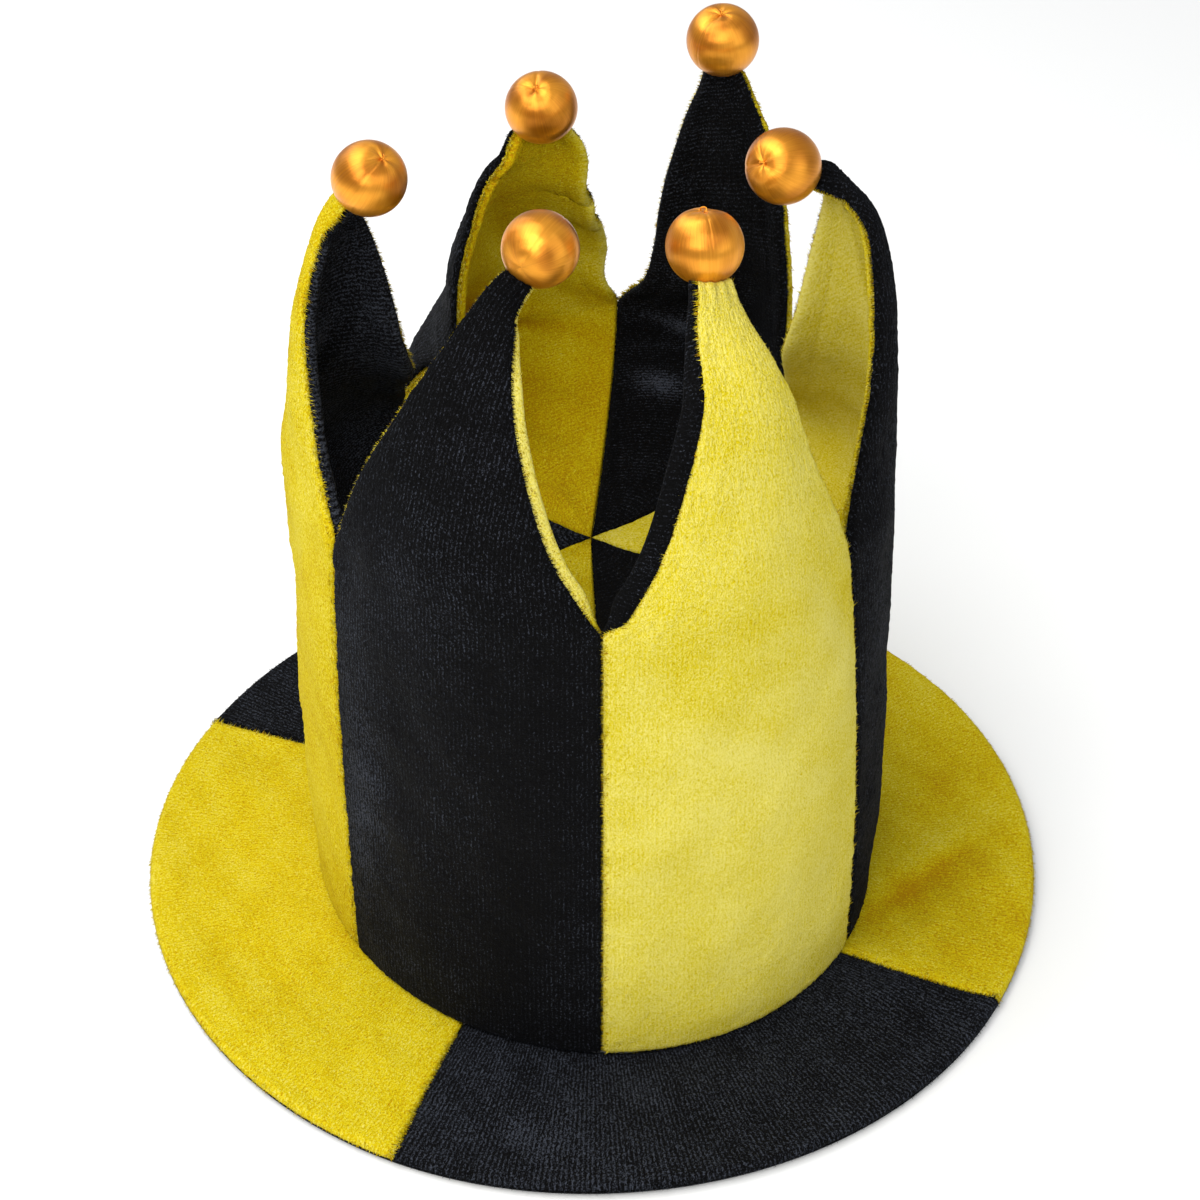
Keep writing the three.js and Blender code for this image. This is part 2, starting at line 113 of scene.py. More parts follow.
floor_mesh = bpy.data.meshes.new("floor")
half = FLOOR_SIDE / 2
floor_corners = [(-half, -half, 0), (half, -half, 0), (half, half, 0), (-half, half, 0)]
floor_mesh.from_pydata(floor_corners, [], [(0, 1, 2, 3)])
floor = bpy.data.objects.new("floor", floor_mesh)
scene.collection.objects.link(floor)
# Matt white paper, which gives an even ground with no reflection of the hat.
pale_paper = bpy.data.materials.new("pale_paper_floor")
pale_paper.use_nodes = True
pale_paper.node_tree.nodes["Principled BSDF"].inputs["Base Color"].default_value = linear("#F4F4F2")
pale_paper.node_tree.nodes["Principled BSDF"].inputs["Roughness"].default_value = 0.8
floor_mesh.materials.append(pale_paper)


# Brim underside
# One ring of black plush that the hat rests on. Its outer edge is turned up to the seam at the rim,
# and its inner edge is sewn to the foot of the crown.
CROWN_RADIUS = 98.5
CROWN_OVAL = 3.6
CROWN_OVAL_AZIMUTH = -61
PANEL_THICKNESS = 2.2
CLEARANCE = 0.3
BRIM_RADIUS = 155
BRIM_LAYER = 2.4
BRIM_THICKNESS = 2 * BRIM_LAYER + CLEARANCE
BRIM_LIFT = 2.2
BRIM_REST_RADIUS = 122
BRIM_WAVES = np.array([
    # azimuth, half width in degrees, share of the lift
    [12, 30, 1],
    [100, 36, 0.8],
    [196, 34, 0.9],
    [-78, 30, 0.4],
])
RING_COLUMNS = 320
RING_ROWS = 33
RIM_ROWS = 8  # of a layer's turn round the rim
LUMP = 0.12  # random height of the pile's clumps
WAVE_BANDS = 3.2  # that a wave texture draws over one unit


def smooth(value, low, high):
    """Rises from 0 at low to 1 at high, level at both ends."""
    t = np.clip((value - low) / (high - low), 0, 1)
    return t * t * (3 - 2 * t)


def unit(vectors):
    """The vectors at length 1."""
    return vectors / np.linalg.norm(vectors, axis=-1, keepdims=True)


def outwards(azimuth):
    """Level unit vectors that point away from the hat's axis."""
    a = np.radians(azimuth)
    return np.stack([np.cos(a), np.sin(a), np.zeros_like(a)], -1)


def crown_radius(azimuth):
    """Outer radius of the crown at its foot: an oval about its mean radius."""
    return CROWN_RADIUS + CROWN_OVAL * np.cos(2 * np.radians(azimuth - CROWN_OVAL_AZIMUTH))


def brim_lift(azimuth, radius):
    """Height of the loose rim: its highest wave there, growing from the resting part out to the rim."""
    apart = (np.asarray(azimuth)[..., None] - BRIM_WAVES[:, 0] + 180) % 360 - 180
    waves = BRIM_WAVES[:, 2] * np.exp(-((apart / BRIM_WAVES[:, 1]) ** 2))
    return BRIM_LIFT * smooth(radius, BRIM_REST_RADIUS, BRIM_RADIUS) * waves.max(-1)


def swells(points, length, seed, count=10):
    """A smooth random field of about -1 to 1: a sum of waves of one length in random directions."""
    rng = np.random.default_rng(seed)
    ways = unit(rng.normal(size=(count, 3))) * (2 * np.pi / length)
    starts = rng.uniform(0, 2 * np.pi, count)
    return np.cos(points @ ways.T + starts).sum(-1) / np.sqrt(count)


def brim_place(azimuth, radius, height):
    """A point of the brim at an azimuth and radius, lifted by the rim's waves."""
    lifted = height + brim_lift(azimuth, radius)
    return outwards(azimuth) * radius[..., None] + lifted[..., None] * np.array([0, 0, 1])


def mesh_object(name, points, faces, marks, materials, slots=None):
    """A piece from points in millimetres. faces are index arrays with a row per face, all of one
    winding. marks are values per point that the materials read, and slots are material numbers per
    face array."""
    mesh = bpy.data.meshes.new(name)
    mesh.vertices.add(len(points))
    mesh.vertices.foreach_set("co", (points * MM).astype(np.float32).ravel())
    corners = np.concatenate([block.ravel() for block in faces])
    sizes = np.concatenate([np.full(len(block), block.shape[1]) for block in faces])
    mesh.loops.add(len(corners))
    mesh.loops.foreach_set("vertex_index", corners.astype(np.int32))
    mesh.polygons.add(len(sizes))
    mesh.polygons.foreach_set("loop_start", (np.cumsum(sizes) - sizes).astype(np.int32))
    mesh.polygons.foreach_set("use_smooth", np.ones(len(sizes), bool))
    if slots:
        numbers = np.concatenate([np.full(len(block), slot) for block, slot in zip(faces, slots)])
        mesh.polygons.foreach_set("material_index", numbers.astype(np.int32))
    mesh.update(calc_edges=True)
    for mark, values in marks.items():
        kind = "FLOAT_VECTOR" if values.ndim == 2 else "FLOAT"
        layer = mesh.attributes.new(mark, kind, "POINT")
        field = "vector" if values.ndim == 2 else "value"
        layer.data.foreach_set(field, values.astype(np.float32).ravel())
    for material in materials:
        mesh.materials.append(material)
    made = bpy.data.objects.new(name, mesh)
    scene.collection.objects.link(made)
    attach(made, "root")
    return made


def wrapped_quads(rows, columns):
    """The quads of a grid whose last row joins its first and whose last column joins its first."""
    row, column = np.meshgrid(np.arange(rows), np.arange(columns), indexing="ij")
    next_row, next_column = (row + 1) % rows, (column + 1) % columns
    corners = [
        row * columns + column,
        row * columns + next_column,
        next_row * columns + next_column,
        next_row * columns + column,
    ]
    return np.stack(corners, -1).reshape(-1, 4)


def plush(name, shades, contrast, rows_show, sheen, sheen_tint):
    """Short-pile polyester plush. Its pile stands about 1.5 mm off a knitted ground and leans one way,
    so its shade runs from the deep one, seen into the pile, to the pale one, seen along it. It shows
    clumps about 0.45 mm wide and 1 mm long, a finer grain, and the knit's rows as far as rows_show says.
    contrast is how far those reach from one shade to the next."""
    material = bpy.data.materials.new(name)
    material.use_nodes = True
    tree = material.node_tree
    tree.nodes.clear()
    lay = add_node(tree, "ShaderNodeAttribute", attribute_name="lay").outputs["Vector"]
    nap_and_painted_light = add_node(tree, "ShaderNodeAttribute", attribute_name="nap_and_painted_light").outputs["Fac"]
    where = add_node(tree, "ShaderNodeTexCoord").outputs["Object"]
    along_pile = add_node(tree, "ShaderNodeMapping", {"Vector": lay, "Scale": (1 / 0.45, 1, 1)})
    clumps = add_node(
        tree,
        "ShaderNodeTexNoise",
        {"Vector": along_pile.outputs[0], "Scale": 1, "Detail": 2, "Roughness": 0.6, "Distortion": 0.7},
    ).outputs[0]
    grain = add_node(
        tree,
        "ShaderNodeTexNoise",
        {"Vector": where, "Scale": 1 / (0.6 * MM), "Detail": 2, "Roughness": 0.7},
    ).outputs[0]
    rows = add_node(
        tree,
        "ShaderNodeTexWave",
        {"Vector": lay, "Scale": 1 / 1.4 / WAVE_BANDS, "Distortion": 2, "Detail": 1, "Detail Scale": 0.6},
        bands_direction="X",
    ).outputs[1]
    pile = add_node(tree, "ShaderNodeMath", {0: clumps, 1: grain}, operation="ADD").outputs[0]
    height = add_node(
        tree, "ShaderNodeMath", {0: rows, 1: rows_show, 2: pile}, operation="MULTIPLY_ADD"
    ).outputs[0]
    centred = add_node(
        tree, "ShaderNodeMath", {0: height, 1: 1 + rows_show / 2}, operation="SUBTRACT"
    ).outputs[0]
    share = add_node(
        tree,
        "ShaderNodeMath",
        {0: centred, 1: contrast, 2: nap_and_painted_light},
        operation="MULTIPLY_ADD",
        use_clamp=True,
    ).outputs[0]
    # The nap attribute places each point between the deep and pale shades and carries painted light and
    # shade; the whitish pale shade is painted sheen of pile seen along it.
    deep, middle, pale = [linear(shade) for shade in shades]
    upper = add_node(
        tree, "ShaderNodeMath", {0: share, 1: 2, 2: -1}, operation="MULTIPLY_ADD", use_clamp=True
    )
    lower = add_node(tree, "ShaderNodeMath", {0: share, 1: 2}, operation="MULTIPLY", use_clamp=True)
    low_shade = add_node(
        tree, "ShaderNodeMix", {0: lower.outputs[0], 6: deep, 7: middle}, data_type="RGBA"
    ).outputs[2]
    shade = add_node(
        tree, "ShaderNodeMix", {0: upper.outputs[0], 6: low_shade, 7: pale}, data_type="RGBA"
    ).outputs[2]
    relief = add_node(tree, "ShaderNodeBump", {"Height": height, "Strength": 0.9, "Distance": 0.5 * MM})
    surface = add_node(
        tree,
        "ShaderNodeBsdfPrincipled",
        {
            "Base Color": shade,
            "Normal": relief.outputs[0],
            "Roughness": 0.85,
            "Specular IOR Level": 0.08,
            "Sheen Weight": sheen,
            "Sheen Roughness": 0.4,
            "Sheen Tint": linear(sheen_tint),
        },
    )
    add_node(tree, "ShaderNodeOutputMaterial", {"Surface": surface.outputs[0]})
    return material


PLUSH = {
    "black": plush(
        "black_polyester_plush", ("#010101", "#060607", "#3A3E47"), 1.9, 0.16, 0.02, "#8F9BB4"
    ),
    "yellow": plush(
        "yellow_polyester_plush", ("#AA7C00", "#CDBA05", "#DFD36C"), 1.25, 0.08, 0.02, "#FFF08A"
    ),
}

ring_azimuth = np.arange(RING_COLUMNS) * 360 / RING_COLUMNS
opening = crown_radius(ring_azimuth) - PANEL_THICKNESS
turn = np.linspace(0, np.pi / 2, RIM_ROWS + 1)
shoulder = BRIM_RADIUS - BRIM_LAYER
out = np.linspace(0, 1, RING_ROWS + 1)[:, None]
below = opening + (shoulder - opening) * out
rim_reach = shoulder + BRIM_LAYER * np.sin(turn)[1:, None] + 0 * ring_azimuth
above = opening + (shoulder + BRIM_LAYER / 2 - opening) * out[::-1]
ring_radius = np.concatenate([below, rim_reach, above])
ring_height = np.concatenate([
    0 * below,
    BRIM_LAYER * (1 - np.cos(turn))[1:, None] + 0 * ring_azimuth,
    BRIM_LAYER + 0 * above,
])
ring = brim_place(ring_azimuth + 0 * ring_radius, ring_radius, ring_height)
ring_points = ring.reshape(-1, 3)
ring_lay = np.stack([np.radians(ring_azimuth) * 130 + 0 * ring_radius, ring_radius, 0 * ring_radius], -1)
ring_nap = 0.35 + 0.2 * swells(ring_points, 40, 11)
underside = mesh_object(
    "brim_underside_plush",
    ring_points,
    [wrapped_quads(len(ring_radius), RING_COLUMNS)],
    {"lay": ring_lay.reshape(-1, 3), "nap_and_painted_light": ring_nap},
    [PLUSH["black"]],
)
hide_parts("brim_underside")


# Brim top
# Four plush sections, two yellow and two black, sewn edge to edge. Each seam is a soft groove that
# the longer yellow pile leans over, and the rim is turned down to meet the underside.
BRIM_SECTIONS = (
    # place, azimuth of its first seam and of the next one, colour
    ("left", -206.4, -115, "yellow"),
    ("front", -115, -30.5, "black"),
    ("right", -30.5, 61.5, "yellow"),
    ("back", 61.5, 153.6, "black"),
)
BRIM_SEAM_SWEEP = 2.8
BRIM_COLUMNS = 144
BRIM_ROWS = 52
COARSE = 4  # the hidden side of a piece has a grid this many times coarser
SEAM_ROLL = 3.0  # how far from a seam the pile starts to fall away
SEAM_DROP = 1.5  # how far it falls
BACK_INSET = 0.8  # how far a piece's hidden side is drawn back from its edges
BRIM_DENTS = np.array([
    # x, y, half length, half width, degrees from +X, depth, how much painted shade darkens the nap in it
    # (painted light where negative)
    [118, -18, 34, 11, 41, 1.3, 0.22],
    [113, -20, 26, 4, 41, 0.3, 0.22],
    [124, -2, 30, 8, 41, -0.8, -0.12],
    [128, 34, 26, 10, 95, 0.8, 0.1],
    [-118, -52, 30, 14, 120, 0.7, 0.03],
    [30, -128, 34, 11, 12, 0.9, 0.1],
    [-20, -134, 26, 7, -8, 0.6, -0.12],
    [-60, 118, 34, 12, 150, 0.9, 0.1],
])
# How pale each brim section's nap lies; the right section's lower level is painted shade, where the crown
# shades it.
BRIM_NAP_AND_SHADE = {"left": 0.46, "front": 0.52, "right": 0.42, "back": 0.45}


def grid_quads(rows, columns, first, flipped):
    """The quads of an open grid of rows by columns of cells, its points numbered from first."""
    row, column = np.meshgrid(np.arange(rows), np.arange(columns), indexing="ij")
    corner = first + row * (columns + 1) + column
    quads = np.stack([corner, corner + 1, corner + columns + 2, corner + columns + 1], -1).reshape(-1, 4)
    return quads[:, ::-1] if flipped else quads


def border(rows, columns, first):
    """The numbers of an open grid's outer points, in order round it."""
    numbers = first + np.arange((rows + 1) * (columns + 1)).reshape(rows + 1, columns + 1)
    return np.concatenate([numbers[0, :-1], numbers[:-1, -1], numbers[-1, :0:-1], numbers[:0:-1, 0]])


def closed_cloth(face, back, flipped):
    """Joins a fine grid and a coarser one behind it into one closed body: the two grids' quads, and
    round the edge a strip where each coarse step is fanned to the fine steps beside it."""
    rows, columns = face.shape[0] - 1, face.shape[1] - 1
    back_rows, back_columns = back.shape[0] - 1, back.shape[1] - 1
    count = face.shape[0] * face.shape[1]
    fine = border(rows, columns, 0)
    coarse = border(back_rows, back_columns, count)
    nearest = ((np.arange(len(fine)) + COARSE // 2) // COARSE) % len(coarse)
    fans = np.stack([fine, coarse[nearest], np.roll(fine, -1)], -1)
    turns = np.stack([fine[COARSE // 2 :: COARSE], coarse, np.roll(coarse, -1)], -1)
    strip = np.concatenate([fans, turns])
    if flipped:
        strip = strip[:, ::-1]
    points = np.concatenate([face.reshape(-1, 3), back.reshape(-1, 3)])
    blocks = [
        grid_quads(rows, columns, 0, flipped),
        strip,
        grid_quads(back_rows, back_columns, count, not flipped),
    ]
    return points, blocks


def roll_off(gap, reach, drop):
    """How far a pile falls beside an edge: a quarter of an ellipse that starts at reach from it."""
    nearness = np.clip(1 - gap / reach, 0, 1)
    return drop * (1 - np.sqrt(1 - nearness**2))


def grid_normals(grid, flipped):
    """The way out of a grid at each point, square to its slopes."""
    normal = unit(np.cross(np.gradient(grid, axis=1), np.gradient(grid, axis=0)))
    return -normal if flipped else normal


def pile_locks(places, ways, lengths, widths, rng):
    """Locks of pile as slim closed spikes: three points round each place, square to the lock's way,
    and one at its end."""
    side = unit(np.cross(ways, rng.normal(size=ways.shape)))
    other = np.cross(ways, side)
    angles = np.arange(3) * 2 * np.pi / 3
    foot = side[:, None] * np.cos(angles)[:, None] + other[:, None] * np.sin(angles)[:, None]
    foot = places[:, None] + foot * widths[:, None, None] / 2
    tip = places + ways * lengths[:, None]
    points = np.concatenate([foot, tip[:, None]], 1).reshape(-1, 3)
    first = 4 * np.arange(len(places))[:, None, None]
    faces = (np.array([[0, 1, 3], [1, 2, 3], [2, 0, 3], [0, 2, 1]]) + first).reshape(-1, 3)
    return points, faces


def at_places(values, low, part):
    """A line's values at places between its points: each part of the way from the low one to the next."""
    return values[low] * (1 - part) + values[low + 1] * part


def edge_locks(grid, normals, line, inner, density, length, lean, rng):
    """Locks that stand along one edge of a grid and lean out over it. line and inner are the edge's
    points and those a few cells in from it, as (rows, columns) index pairs."""
    edge, inside = grid[line], grid[inner]
    steps = np.linalg.norm(np.diff(edge, axis=0), axis=1)
    count = int(steps.sum() * density)
    reached = np.concatenate([[0], np.cumsum(steps)])
    place = np.interp(rng.uniform(0, steps.sum(), count), reached, np.arange(len(edge)))
    low = np.minimum(place.astype(int), len(edge) - 2)
    part = (place - low)[:, None]
    back = rng.uniform(0, 1, (count, 1)) ** 1.5
    on_edge, on_inside = at_places(edge, low, part), at_places(inside, low, part)
    start = on_edge * (1 - back) + on_inside * back
    up = at_places(normals[line], low, part) * (1 - back) + at_places(normals[inner], low, part) * back
    leaning = unit(on_edge - on_inside) * lean * rng.uniform(0.5, 1.5, (count, 1))
    along = unit(at_places(np.gradient(edge, axis=0), low, part)) * rng.normal(0, 0.35, (count, 1))
    ways = unit(unit(up) + leaning + along)
    lengths = length * rng.uniform(0.6, 1.25, count)
    return start - ways * 0.25, ways, lengths


def dressed(name, face, back, flipped, lay, nap_and_painted_light, locks, materials, rng):
    """A cloth piece with locks of pile along its edges, as one mesh. The locks take the marks of their
    own places, and their nap varies at random; each lock's foot is painted darker than its tip, as
    painted shade in the pile."""
    points, blocks = closed_cloth(face, back, flipped)
    starts = np.concatenate([lock[0] for lock in locks])
    ways = np.concatenate([lock[1] for lock in locks])
    lengths = np.concatenate([lock[2] for lock in locks])
    lock_points, lock_faces = pile_locks(starts, ways, lengths, rng.uniform(0.28, 0.5, len(starts)), rng)
    back_lay = lay[::COARSE, ::COARSE].reshape(-1, 3)
    back_nap_and_light = nap_and_painted_light[::COARSE, ::COARSE].ravel()
    lock_lay = np.repeat(starts, 4, 0)
    lock_nap_and_shade = np.repeat(rng.uniform(0.2, 0.95, len(starts)), 4)
    # Painted shade: each lock's foot points are 0.2 darker than its tip.
    lock_nap_and_shade = lock_nap_and_shade - np.tile([0.2, 0.2, 0.2, 0], len(starts))
    return mesh_object(
        name,
        np.concatenate([points, lock_points]),
        [*blocks, lock_faces + len(points)],
        {
            "lay": np.concatenate([lay.reshape(-1, 3), back_lay, lock_lay]),
            "nap_and_painted_light": np.concatenate([nap_and_painted_light.ravel(), back_nap_and_light, lock_nap_and_shade]),
        },
        materials,
        [0, 0, len(materials) - 1, 0],
    )


def brim_dent_and_shade(x, y):
    """How far the brim's top is pressed down by long smooth hollows, and how much painted shade darkens
    it there.
    """
    lean = np.radians(BRIM_DENTS[:, 4])
    dx, dy = x[..., None] - BRIM_DENTS[:, 0], y[..., None] - BRIM_DENTS[:, 1]
    length = (dx * np.cos(lean) + dy * np.sin(lean)) / BRIM_DENTS[:, 2]
    width = (dy * np.cos(lean) - dx * np.sin(lean)) / BRIM_DENTS[:, 3]
    near = np.exp(-(length**2) - width**2)
    return near @ BRIM_DENTS[:, 5], near @ BRIM_DENTS[:, 6]


def brim_face(first_seam, next_seam, level, edge, across, rows_out, inset):
    """A face of a section's layer, as azimuth, radius and height: from the crown's foot at a level out
    to the shoulder of the rim, then a quarter circle down by edge, which is 0 for the hidden face.
    inset draws it back from the seams and the rim."""
    sweep = BRIM_SEAM_SWEEP * (np.clip(rows_out, 0, 1) - 0.5)
    half_out = CROWN_RADIUS + (BRIM_RADIUS - CROWN_RADIUS) * rows_out / 2
    trim = np.degrees((CLEARANCE / 2 + inset) / half_out)
    azimuth = first_seam + trim + (next_seam - first_seam - 2 * trim) * across + sweep
    inside = crown_radius(azimuth) - PANEL_THICKNESS
    around = np.clip(rows_out - 1, 0, 1) * np.pi / 2
    radius = inside + (shoulder - inside) * np.clip(rows_out, 0, 1)
    radius = radius + np.where(edge, BRIM_LAYER, BRIM_LAYER / 2 - inset) * np.sin(around)
    height = level - edge * (1 - np.cos(around)) + 0 * azimuth
    return azimuth, radius, height


def knit_back(name, colour):
    """The knitted ground seen from behind: dull loops in rows about 1 mm apart."""
    material = bpy.data.materials.new(name)
    material.use_nodes = True
    tree = material.node_tree
    tree.nodes.clear()
    lay = add_node(tree, "ShaderNodeAttribute", attribute_name="lay").outputs["Vector"]
    wales = add_node(
        tree, "ShaderNodeTexWave", {"Vector": lay, "Scale": 1 / 0.9 / WAVE_BANDS}, bands_direction="X"
    )
    courses = add_node(
        tree, "ShaderNodeTexWave", {"Vector": lay, "Scale": 1 / 0.7 / WAVE_BANDS}, bands_direction="Y"
    )
    loops = add_node(
        tree, "ShaderNodeMath", {0: wales.outputs[1], 1: courses.outputs[1]}, operation="MULTIPLY"
    ).outputs[0]
    pale, dark = np.array(linear(colour)), np.array(linear(colour)) * (0.55, 0.55, 0.55, 1)
    shade = add_node(
        tree, "ShaderNodeMix", {0: loops, 6: tuple(dark), 7: tuple(pale)}, data_type="RGBA"
    ).outputs[2]
    relief = add_node(tree, "ShaderNodeBump", {"Height": loops, "Strength": 0.6, "Distance": 0.25 * MM})
    surface = add_node(
        tree,
        "ShaderNodeBsdfPrincipled",
        {"Base Color": shade, "Normal": relief.outputs[0], "Roughness": 0.9, "Specular IOR Level": 0.2},
    )
    add_node(tree, "ShaderNodeOutputMaterial", {"Surface": surface.outputs[0]})
    return material


KNIT = {
    "black": knit_back("black_knit_ground", "#1C1C1F"),
    "yellow": knit_back("yellow_knit_ground", "#A88C1E"),
}

for seed, (place, first_seam, next_seam, colour) in enumerate(BRIM_SECTIONS):
    rng = np.random.default_rng(100 + seed)
    across = np.linspace(0, 1, BRIM_COLUMNS + 1)
    across = across - 0.055 * np.sin(4 * np.pi * across) / 2 - 0.03 * np.sin(2 * np.pi * across)
    on_top = np.linspace(0, 1, BRIM_ROWS - RIM_ROWS + 1)
    rows_out = np.concatenate([on_top, 1 + np.arange(1, RIM_ROWS + 1) / RIM_ROWS])[:, None]
    azimuth, radius, height = brim_face(
        first_seam, next_seam, BRIM_THICKNESS, BRIM_LAYER, across, rows_out, 0
    )
    gap = np.minimum(across, 1 - across) * (next_seam - first_seam) * np.radians(1) * radius
    smooth_face = brim_place(azimuth, radius, height)
    on_flat = smooth(radius, BRIM_RADIUS, shoulder - 8)
    away = smooth(gap, 0, 12)
    relief = 0.55 * swells(smooth_face, 46, 21) + 0.25 * swells(smooth_face, 17, 22)
    dent, painted_shade = brim_dent_and_shade(smooth_face[..., 0], smooth_face[..., 1])
    relief = relief * on_flat * away - dent * on_flat
    relief = relief + rng.normal(0, LUMP, radius.shape) - roll_off(gap, SEAM_ROLL, SEAM_DROP) * on_flat
    face = smooth_face + relief[..., None] * np.array([0, 0, 1])
    hidden = BRIM_LAYER + CLEARANCE, 0, across[::COARSE], rows_out[::COARSE], BACK_INSET
    back = brim_place(*brim_face(first_seam, next_seam, *hidden))
    lay = np.stack([(azimuth - first_seam) * 2.2, radius, gap], -1)
    # Painted shade from the dent table darkens the nap where its last column is positive, and painted
    # light lightens it where negative.
    nap_and_painted_light = BRIM_NAP_AND_SHADE[place] + 0.04 * swells(face, 60, 31) + 0.04 * swells(face, 14, 32) - painted_shade
    normals = grid_normals(face, True)
    longer = 1.35 if colour == "yellow" else 1.0
    locks = [
        edge_locks(face, normals, np.s_[4:, 0], np.s_[4:, 3], 5, 1.7 * longer, 1.2, rng),
        edge_locks(face, normals, np.s_[4:, -1], np.s_[4:, -4], 5, 1.7 * longer, 1.2, rng),
        edge_locks(face, normals, np.s_[-1, :], np.s_[-6, :], 4, 1.3, 0.9, rng),
    ]
    section = dressed(
        f"brim_plush_{place}", face, back, True, lay, nap_and_painted_light, locks, [PLUSH[colour], KNIT[colour]], rng
    )
    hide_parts(f"brim_top_{place}")


# Crown
# Six panels of plush, sewn edge to edge, each cut in one with the leaf-shaped point above it. The
# wall stands on the brim, and the points curl in. The knitted ground shows inside.
CROWN_SWELL = 1
NOTCH_HEIGHT = 175
POINT_RISE = 93
CROWN_BASE = BRIM_THICKNESS + CLEARANCE
SECTION_SETTLES = 0.5
THICKNESS_SETTLES = 0.2
FOLDS_SETTLE = 0.15
TIP_STARTS = 0.85
MEAN_WIDTH = 0.6
SMALL_STEP = 2e-3
POINT_LENGTH = 112  # of the cloth from the notches to the tip
EDGE_FREE = 1.07  # up to here the two sides of a notch part from each other
PROUD_FULL = 1.14  # up to here the lining's edge comes to stand out in full
BAND_FADES = (1.5, 1.9)  # between these heights its band narrows to a tenth
DENT_HALF_WIDTH = 50  # in mm, of a panel as its dents measure across it
FLANK_STEP = 0.05  # how far to each side a dent's slope is measured for the painted light and shade on its flanks
NARROW_HALF = 14  # half width in mm under which a point's edges are drawn finer
LINING_OUTSIDE = PANEL_THICKNESS + CLEARANCE
LINING_INSIDE = LINING_OUTSIDE + 3.1
BALL_RADIUS = 11.25
TIP_GATHER = 9.0  # length of the cloth that is drawn up under the ball
TIP_SINKS = 0.15  # how far its end presses into the ball's thread
PANEL_COLUMNS = 96
CROWN_ROWS = 124
POINT_ROWS = 84
SEAMS = (
    # azimuth, share of the notch height, how far the notch is drawn in as a share of the crown's radius
    (-147, 1.01, 0.015),
    (-88, 1.02, 0.03),
    (-30, 0.965, 0.09),
    (32, 0.95, 0.17),
    (84.5, 0.985, 0.05),
    (146, 0.935, 0.225),
)
PANELS = {
    # each row: rise, inward, side, width, curl, turn, as shares of the point's and the crown's sizes
    "front_left": ("black", "yellow", 0, [
        (0, 0, 0, 1, 1, 0),
        (0.22, 0.02, -0.025, 0.775, 0.95, 0),
        (0.46, 0.09, -0.025, 0.56, 0.9, 0),
        (0.7, 0.22, -0.02, 0.33, 0.8, 0),
        (0.88, 0.39, -0.01, 0.16, 0.7, 0),
        (0.96, 0.49, 0.02, 0.1, 0.6, 0),
    ]),
    "front_right": ("yellow", "black", 0, [
        (0, 0, 0, 1, 1, 0),
        (0.22, 0.02, 0.01, 0.78, 0.95, 0),
        (0.46, 0.09, 0.02, 0.56, 0.9, 0),
        (0.72, 0.2, 0.045, 0.36, 0.8, 0),
        (0.9, 0.36, 0.06, 0.2, 0.7, 0),
        (1, 0.45, 0.08, 0.12, 0.6, 0),
    ]),
    "right": ("black", "yellow", 0, [
        (0, 0, 0, 1, 1, 0),
        (0.25, 0.02, 0.025, 0.72, 1.6, 9),
        (0.5, 0.05, 0.04, 0.57, 2.3, 26),
        (0.75, 0.088, 0.05, 0.44, 2.3, 32),
        (1, 0.13, 0.04, 0.31, 2, 30),
        (1.12, 0.2, 0.02, 0.19, 1.3, 20),
        (1.165, 0.29, 0, 0.11, 0.8, 10),
    ]),
    "back_right": ("yellow", "black", 0.015, [
        (0, 0, 0, 1, 1, 0),
        (0.15, 0.01, -0.015, 0.8, 1, 0),
        (0.31, 0.03, -0.02, 0.71, 1, 0),
        (0.48, 0.06, -0.02, 0.64, 1, 0),
        (0.71, 0.09, -0.02, 0.52, 0.9, 0),
        (0.93, 0.12, -0.01, 0.34, 0.7, 0),
        (1.11, 0.14, 0, 0.15, 0.6, 0),
    ]),
    "back_left": ("black", "yellow", 0.06, [
        (0, 0, 0, 1, 1, 0),
        (0.16, 0.02, -0.005, 0.87, 1.5, 6),
        (0.344, 0.1, 0.01, 0.88, 1.9, 15),
        (0.554, 0.205, 0.012, 0.77, 2, 18),
        (0.748, 0.313, -0.028, 0.58, 1.8, 15),
        (0.894, 0.39, -0.075, 0.38, 1.4, 8),
        (0.988, 0.43, -0.077, 0.16, 0.6, 0),
    ]),
    "left": ("yellow", "black", 0, [
        (0, 0, 0, 1, 1, 0),
        (0.224, 0.01, -0.025, 0.76, 1.6, -8),
        (0.444, 0.05, -0.05, 0.6, 2.3, -27),
        (0.644, 0.09, -0.06, 0.49, 2.25, -34),
        (0.844, 0.13, -0.05, 0.355, 1.85, -31),
        (0.984, 0.17, -0.03, 0.21, 1.3, -20),
        (1.06, 0.23, 0, 0.11, 0.8, -10),
    ]),
}
FOLDS = (
    # place, across, up, half length, half width, lean in degrees, depth, as shares of the crown's radius
    ("back_left", -0.2, 0.3, 0.34, 0.13, 38, 0.035),
    ("back_right", 0.35, 0.25, 0.32, 0.13, -42, 0.035),
    ("left", -0.3, 0.35, 0.3, 0.13, -35, 0.025),
    ("right", 0.25, 0.4, 0.3, 0.13, 40, 0.02),
    ("front_left", 0.1, 0.5, 0.36, 0.16, 50, 0.015),
    ("front_right", -0.1, 0.45, 0.36, 0.16, -50, 0.015),
)
EDGES = {
    # how far in the lining's edge lies on a point's outside, and how far it stands out past it, in mm,
    # first at the point's first seam and then at its second
    "front_left": (0.5, 1.2, 0.6, 3.3),
    "front_right": (3.0, 3.8, 0.0, 0.6),
    "right": (0.0, -0.8, 0.5, 1.0),
    "back_right": (0.0, 0.8, 0.0, 0.8),
    "back_left": (0.5, 1.8, 0.0, -0.6),
    "left": (0.5, 1.0, 1.0, 1.0),
}
